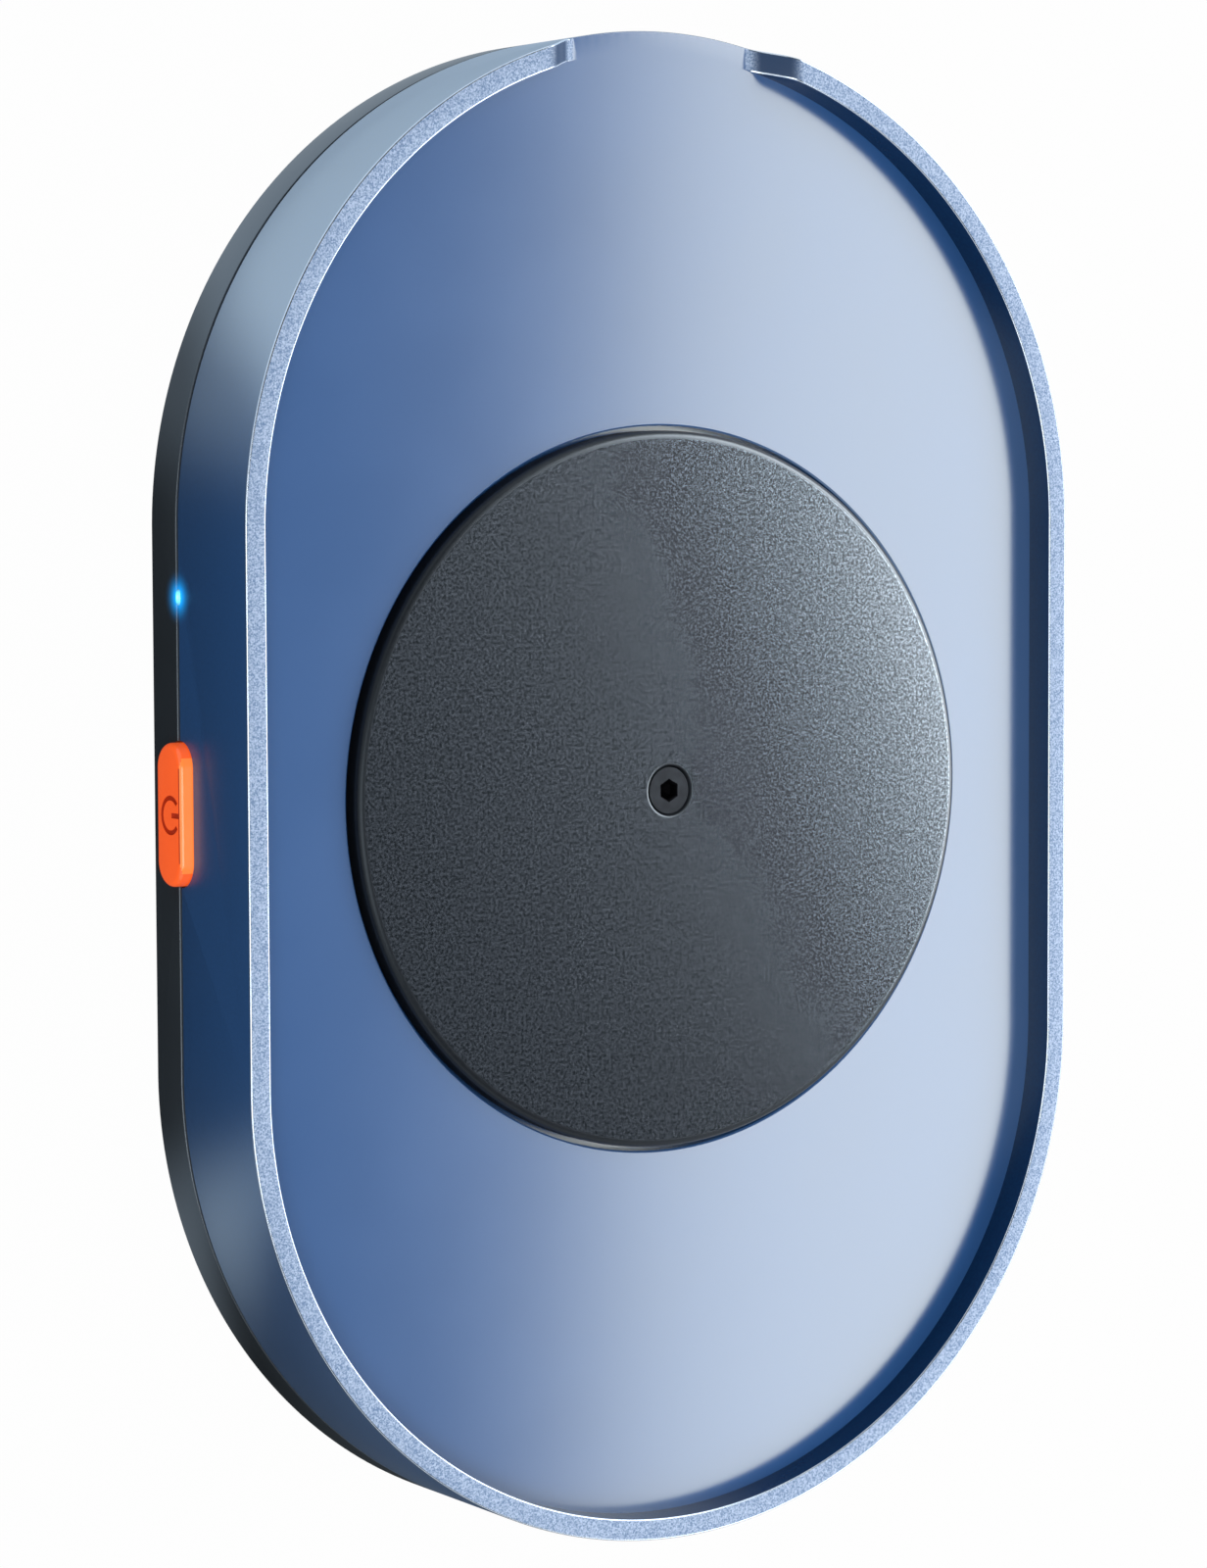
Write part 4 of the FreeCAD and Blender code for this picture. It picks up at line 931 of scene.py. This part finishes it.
buttonPiece = makeButton()
wear(buttonPiece, {"button_orange": button["plastic"], "button_mark_shaded": button["mark"],
                   "button_lit_flank": button["litFlankPlastic"]})
paintFaces(buttonPiece, "button_mark_shaded", lambda f:
           2 * near < where(f).x - button["face"] < button["markDepth"] + near and
           math.hypot(where(f).y - button["y"], where(f).z - markHeight()) < button["markPaint"])
# the upward flank takes the painted highlight
paintFaces(buttonPiece, "button_lit_flank", lambda f: f.normal.z > button["litFlankFrom"] and
           where(f).z > heights["parting"] + button["litFlankFrom"] * button["height"])
finishPiece(buttonPiece, "button", "power_button", "power_button")
print("button modelled:", len(buttonPiece.data.polygons), "faces")


# light on the seam

seamLight = {
    "y": sidePlaces["light"],
    "length": 1.5,
    "height": 0.75,
    "face": -44.1,
    "tipRound": 0.2,
    "block": (-41.8, -38.2),
    "blockWidth": 3.4,
    "blockHeight": 2.6,
    "blockEdge": 0.25,
    "clear": {
        "colour": (0.55, 0.80, 0.95), "shade": (0.45, 0.72, 0.9), "mottle": 600.0,
        "rough": (0.15, 0.25), "grain": 3000.0, "bump": 0.05, "deep": 0.01,
    },
    "lit": {
        "colour": (0.25, 0.75, 1.0), "shade": (0.2, 0.7, 1.0), "mottle": 600.0,
        "rough": (0.2, 0.3), "grain": 3000.0, "bump": 0.05, "deep": 0.01,
    },
    # brightest in the middle of the tip
    "tipGlow": {
        "place": (-44.1, sidePlaces["light"], heights["parting"]),
        "core": 0.05, "reach": 0.9, "falloff": 2.2, "colour": (0.12, 0.60, 1.0), "strength": 4.5,
    },
}


def makeSeamLight():
    y, face = seamLight["y"], seamLight["face"]
    blockLow, blockHigh = seamLight["block"]
    piece = sideBar(seamLight["height"], seamLight["length"], y, face, blockLow + 0.5)  # into the block
    editPiece(piece)
    pick("EDGE", lambda e: abs(where(e).x - face) < near)
    bpy.ops.mesh.bevel(offset=seamLight["tipRound"] * mm, segments=4)
    wide, high, seam = seamLight["blockWidth"] / 2, seamLight["blockHeight"] / 2, heights["parting"]
    block = slab((blockLow, blockHigh), (y - wide, y + wide), (seam - high, seam + high))
    editPiece(block)
    bpy.ops.mesh.select_all(action="SELECT")
    bpy.ops.mesh.bevel(offset=seamLight["blockEdge"] * mm, segments=3)
    joinByCut(piece, [block], "UNION")
    return piece


lightPiece = makeSeamLight()
wear(lightPiece, {"light_clear": seamLight["clear"], "light_lit": seamLight["lit"]})
addHalo(lightPiece.data.materials["light_lit"], seamLight["tipGlow"])
paintFaces(lightPiece, "light_lit", lambda f: where(f).x < seamLight["block"][0] - 0.1)
finishPiece(lightPiece, "seam_light", "housing", "light_pipe")
print("light modelled:", len(lightPiece.data.polygons), "faces")


# openings in the tray and the base for the button, the light and the socket

openings = {
    "buttonPlay": 0.15,
    "sideReach": (-47.0, -40.6),  # from outside the wall to the room behind it
    "usbWidth": 8.94,
    "usbHeight": 3.26,
    "usbPlay": 0.25,
    "usbReach": (60.0, 72.0),
}


def cutOpenings(piece):
    play, usbPlay = 2 * openings["buttonPlay"], 2 * openings["usbPlay"]
    joinByCut(piece, [
        sideBar(button["height"] + play, button["length"] + play, button["y"], *openings["sideReach"]),
        sideBar(seamLight["height"], seamLight["length"], seamLight["y"], *openings["sideReach"]),
    ], "DIFFERENCE")
    # the socket's mouth is a side bar, turned to the cable gap's end
    mouth = sideBar(openings["usbHeight"] + usbPlay, openings["usbWidth"] + usbPlay, 0.0,
                    *openings["usbReach"])
    holdOnly(mouth)
    mouth.rotation_euler.z = math.pi / 2
    bpy.ops.object.transform_apply(location=True, rotation=True, scale=True)
    joinByCut(piece, [mouth], "DIFFERENCE")
    holdOnly(piece)
    bpy.ops.object.shade_smooth_by_angle(angle=math.radians(30))


for shell in (trayPiece, basePiece):
    cutOpenings(shell)
print("openings cut")


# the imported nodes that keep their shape

turnedSteel = {
    "colour": (0.66, 0.66, 0.67), "shade": (0.56, 0.56, 0.57), "mottle": 500.0,
    "rough": (0.14, 0.24), "metal": 1.0, "grain": 3000.0, "bump": 0.05, "deep": 0.01,
}
brass = {
    "colour": (0.63, 0.43, 0.16), "shade": (0.52, 0.34, 0.12), "mottle": 400.0,
    "rough": (0.22, 0.34), "metal": 1.0, "grain": 3000.0, "bump": 0.1, "deep": 0.01,
}
paleNylon = {
    "colour": (0.80, 0.79, 0.74), "shade": (0.74, 0.73, 0.68), "mottle": 300.0,
    "rough": (0.42, 0.52), "grain": 3000.0, "bump": 0.1, "deep": 0.01,
}
zincScrew = {
    "colour": (0.6, 0.6, 0.61), "shade": (0.5, 0.5, 0.51), "mottle": 400.0,
    "rough": (0.2, 0.3), "metal": 1.0, "grain": 3000.0, "bump": 0.08, "deep": 0.01,
}
keptNodes = {
    "rubber_feet": {"colour": (0.016, 0.016, 0.017), "shade": (0.010, 0.010, 0.011), "mottle": 400.0,
                    "rough": (0.75, 0.88), "grain": 4500.0, "bump": 0.4, "deep": 0.03},
    "usb_socket": {"colour": (0.62, 0.62, 0.62), "shade": (0.52, 0.52, 0.53), "mottle": 300.0,
                   "rough": (0.22, 0.34), "metal": 1.0, "grain": 2500.0, "bump": 0.08, "deep": 0.01},
    "circuit_board": {"colour": (0.012, 0.11, 0.045), "shade": (0.010, 0.085, 0.035), "mottle": 350.0,
                      "rough": (0.28, 0.4), "grain": 2500.0, "bump": 0.2, "deep": 0.02, "coat": 0.4},
    "board_chips": {"colour": (0.02, 0.02, 0.021), "shade": (0.014, 0.014, 0.015), "mottle": 800.0,
                    "rough": (0.5, 0.62), "grain": 6000.0, "bump": 0.3, "deep": 0.02},
    "motor_can": {"colour": (0.56, 0.56, 0.55), "shade": (0.45, 0.45, 0.45), "mottle": 140.0,
                  "rough": (0.26, 0.4), "metal": 1.0, "grain": 2600.0, "bump": 0.12, "deep": 0.01},
    "gear_plate": {"colour": (0.56, 0.56, 0.55), "shade": (0.44, 0.44, 0.44), "mottle": 120.0,
                   "rough": (0.28, 0.42), "metal": 1.0, "grain": 2600.0, "bump": 0.12, "deep": 0.01},
    "output_spindle": turnedSteel,
    "spindle_bush": brass,
    "disc_washer": {"colour": (0.72, 0.71, 0.66), "shade": (0.64, 0.63, 0.58), "mottle": 500.0,
                    "rough": (0.4, 0.5), "grain": 3000.0, "bump": 0.1, "deep": 0.01},
    "output_gear": {"colour": (0.74, 0.72, 0.65), "shade": (0.68, 0.66, 0.6), "mottle": 260.0,
                    "rough": (0.38, 0.5), "grain": 2800.0, "bump": 0.12, "deep": 0.015},
    "idler_gear": {"colour": (0.72, 0.70, 0.63), "shade": (0.66, 0.64, 0.58), "mottle": 260.0,
                   "rough": (0.38, 0.5), "grain": 2800.0, "bump": 0.12, "deep": 0.015},
    "idler_pin": turnedSteel,
    "motor_shaft": turnedSteel,
    "motor_pinion": brass,
    "motor_terminals": paleNylon,
    "motor_plug": paleNylon,
    "motor_leads": {"colour": (0.42, 0.03, 0.02), "shade": (0.36, 0.022, 0.016), "mottle": 300.0,
                    "rough": (0.4, 0.5), "grain": 2500.0, "bump": 0.1, "deep": 0.01},
    "tact_switch": {"colour": (0.02, 0.02, 0.021), "shade": (0.014, 0.014, 0.015), "mottle": 600.0,
                    "rough": (0.42, 0.52), "grain": 4000.0, "bump": 0.2, "deep": 0.02},
    "switch_plunger": {"colour": (0.78, 0.78, 0.76), "shade": (0.7, 0.7, 0.68), "mottle": 600.0,
                       "rough": (0.35, 0.45), "grain": 3000.0, "bump": 0.1, "deep": 0.01},
    "status_led": {"colour": (0.7, 0.85, 0.95), "shade": (0.6, 0.8, 0.92), "mottle": 500.0,
                   "rough": (0.15, 0.25), "grain": 3000.0, "bump": 0.05, "deep": 0.01,
                   "glow": (0.10, 0.62, 1.0), "glowStrength": 2.0},
    "case_screws": {"colour": (0.03, 0.03, 0.034), "shade": (0.02, 0.02, 0.023), "mottle": 500.0,
                    "rough": (0.3, 0.42), "metal": 0.9, "grain": 4000.0, "bump": 0.1, "deep": 0.01},
    "plate_screws": zincScrew,
    "motor_screws": zincScrew,
}
for node, look in keptNodes.items():
    dress(node, newFinish(node, look))
print("kept nodes dressed:", len(keptNodes))


# table, light and camera

studio = {
    # places and sizes in metres
    "keyLight": {"place": (0.243, -0.01, 0.205), "size": (0.7, 0.22), "watts": 1.3},
    "discLight": {"place": (0.275, 0.106, 0.2), "size": (0.4, 0.2), "watts": 5.6, "diffuse": 0.2},
    "fillLight": {"place": (-0.25, -0.08, 0.42), "size": (0.3, 0.3), "watts": 1.0},
    "worldSoft": 0.3,
    "worldColour": (0.95, 0.97, 1.0),
    "ceiling": 0.05,  # its share of the backdrop's white
    "ceilingFrom": (0.50, 0.66),  # how steeply upward it starts, and where it is full
    "tableSize": 6.0,
    "tableShow": 0.985,  # plain white in what the camera sees of it, and the rest takes shadows
    "tableColour": (0.25, 0.25, 0.25),
    "tableRough": 0.7,
    # how light the table is in reflections, along Y in millimetres: cards lie beyond both ends
    "cards": [(-75.0, 0.1), (-53.0, 0.04), (-39.0, 0.50), (-28.0, 0.07), (25.0, 0.06), (38.0, 0.36),
              (51.0, 1.0), (75.0, 1.0)],
    "cardTint": (0.78, 0.89, 1.0),
}


def addSoftbox(name, look):
    lamp = bpy.data.lights.new(name, "AREA")
    lamp.shape = "RECTANGLE"
    lamp.size, lamp.size_y = look["size"]
    lamp.energy = look["watts"]
    lamp.diffuse_factor = look.get("diffuse", 1.0)
    holder = bpy.data.objects.new(name, lamp)
    holder.location = look["place"]
    away = Vector(look["place"]) - Vector((0, 0, heights["floor"] * mm))
    holder.rotation_euler = away.to_track_quat("Z", "Y").to_euler()
    holder.visible_camera = False
    bpy.context.scene.collection.objects.link(holder)
    return holder


def linkLight(holder, pieces, state):
    # the lamp shines on these pieces alone, or on all but these
    lit = bpy.data.collections.new(holder.name + "_pieces")
    for piece in pieces:
        lit.objects.link(piece)
    holder.light_linking.receiver_collection = lit
    for member in lit.collection_objects:
        member.light_linking.link_state = state


def makeLamps():
    lamps = {name: addSoftbox(name, studio[name]) for name in ("keyLight", "discLight", "fillLight")}
    linkLight(lamps["keyLight"], [discPiece, screwPiece], "EXCLUDE")
    linkLight(lamps["discLight"], [discPiece, screwPiece], "INCLUDE")


def makeWorld():
    world = bpy.data.worlds.new("studioWorld")
    bpy.context.scene.world = world
    world.use_nodes = True
    tree = world.node_tree
    tree.nodes.clear()
    rays = tree.nodes.new("ShaderNodeLightPath").outputs
    seen = linkMath(tree, "MAXIMUM", rays["Is Camera Ray"], rays["Is Glossy Ray"])
    shown = linkMath(tree, "MAXIMUM", seen, rays["Is Transmission Ray"])
    # the white backdrop ends below a dimmer ceiling, which only reflections show
    way = tree.nodes.new("ShaderNodeTexCoord")
    upward = tree.nodes.new("ShaderNodeSeparateXYZ")
    tree.links.new(way.outputs["Generated"], upward.inputs["Vector"])
    fade = linkRange(tree, upward.outputs["Z"], studio["ceilingFrom"], (1.0, studio["ceiling"]))
    white = tree.nodes.new("ShaderNodeBackground")
    white.inputs["Color"].default_value = (1.0, 1.0, 1.0, 1.0)
    tree.links.new(linkMath(tree, "MAXIMUM", fade, rays["Is Camera Ray"]), white.inputs["Strength"])
    soft = tree.nodes.new("ShaderNodeBackground")
    soft.inputs["Color"].default_value = (*studio["worldColour"], 1.0)
    soft.inputs["Strength"].default_value = studio["worldSoft"]
    mix = tree.nodes.new("ShaderNodeMixShader")
    out = tree.nodes.new("ShaderNodeOutputWorld")
    tree.links.new(shown, mix.inputs["Fac"])
    tree.links.new(soft.outputs["Background"], mix.inputs[1])
    tree.links.new(white.outputs["Background"], mix.inputs[2])
    tree.links.new(mix.outputs["Shader"], out.inputs["Surface"])


def makeTable():
    freeHands()
    bpy.ops.mesh.primitive_plane_add(size=studio["tableSize"], location=(0, 0, 0))
    table = bpy.context.object
    table.name = "table"
    stuff = bpy.data.materials.new("table_white")
    stuff.use_nodes = True
    tree = stuff.node_tree
    shader = tree.nodes["Principled BSDF"]
    shader.inputs["Base Color"].default_value = (*studio["tableColour"], 1.0)
    shader.inputs["Roughness"].default_value = studio["tableRough"]
    # reflections see the cards, the camera sees white
    first, last = studio["cards"][0][0], studio["cards"][-1][0]
    stops = [((y - first) / (last - first), [level * channel for channel in studio["cardTint"]])
             for y, level in studio["cards"]]
    along = linkRange(tree, linkAxis(tree, "Y"), (first * mm, last * mm), (0.0, 1.0))
    rays = tree.nodes.new("ShaderNodeLightPath").outputs
    bright = tree.nodes.new("ShaderNodeVectorMath")
    bright.operation = "MAXIMUM"
    tree.links.new(rays["Is Camera Ray"], bright.inputs[0])
    tree.links.new(linkRamp(tree, along, stops, "EASE"), bright.inputs[1])
    glow = tree.nodes.new("ShaderNodeEmission")
    tree.links.new(bright.outputs["Vector"], glow.inputs["Color"])
    share = linkMath(tree, "MULTIPLY", rays["Is Camera Ray"], studio["tableShow"])
    mix = tree.nodes.new("ShaderNodeMixShader")
    tree.links.new(linkMath(tree, "MAXIMUM", share, rays["Is Glossy Ray"]), mix.inputs["Fac"])
    tree.links.new(shader.outputs["BSDF"], mix.inputs[1])
    tree.links.new(glow.outputs["Emission"], mix.inputs[2])
    tree.links.new(mix.outputs["Shader"], tree.nodes["Material Output"].inputs["Surface"])
    table.data.materials.append(stuff)


view = {
    # in metres, degrees and the lens's own millimetres
    "place": (-0.222048, 0.02883, 0.347338),
    "turn": (-3.896, -33.0412, -0.2858),
    "lens": 101.889,
    "sensor": 36.0,
    "clip": (0.05, 20.0),
}


def makeCamera():
    lens = bpy.data.cameras.new("camera")
    lens.lens = view["lens"]
    lens.sensor_width = view["sensor"]
    lens.clip_start, lens.clip_end = view["clip"]
    camera = bpy.data.objects.new("camera", lens)
    camera.location = view["place"]
    camera.rotation_euler = [math.radians(turn) for turn in view["turn"]]
    bpy.context.scene.collection.objects.link(camera)
    bpy.context.scene.camera = camera


makeLamps()
makeWorld()
makeTable()
makeCamera()
bpy.context.scene.view_settings.view_transform = "Standard"
print("studio set")
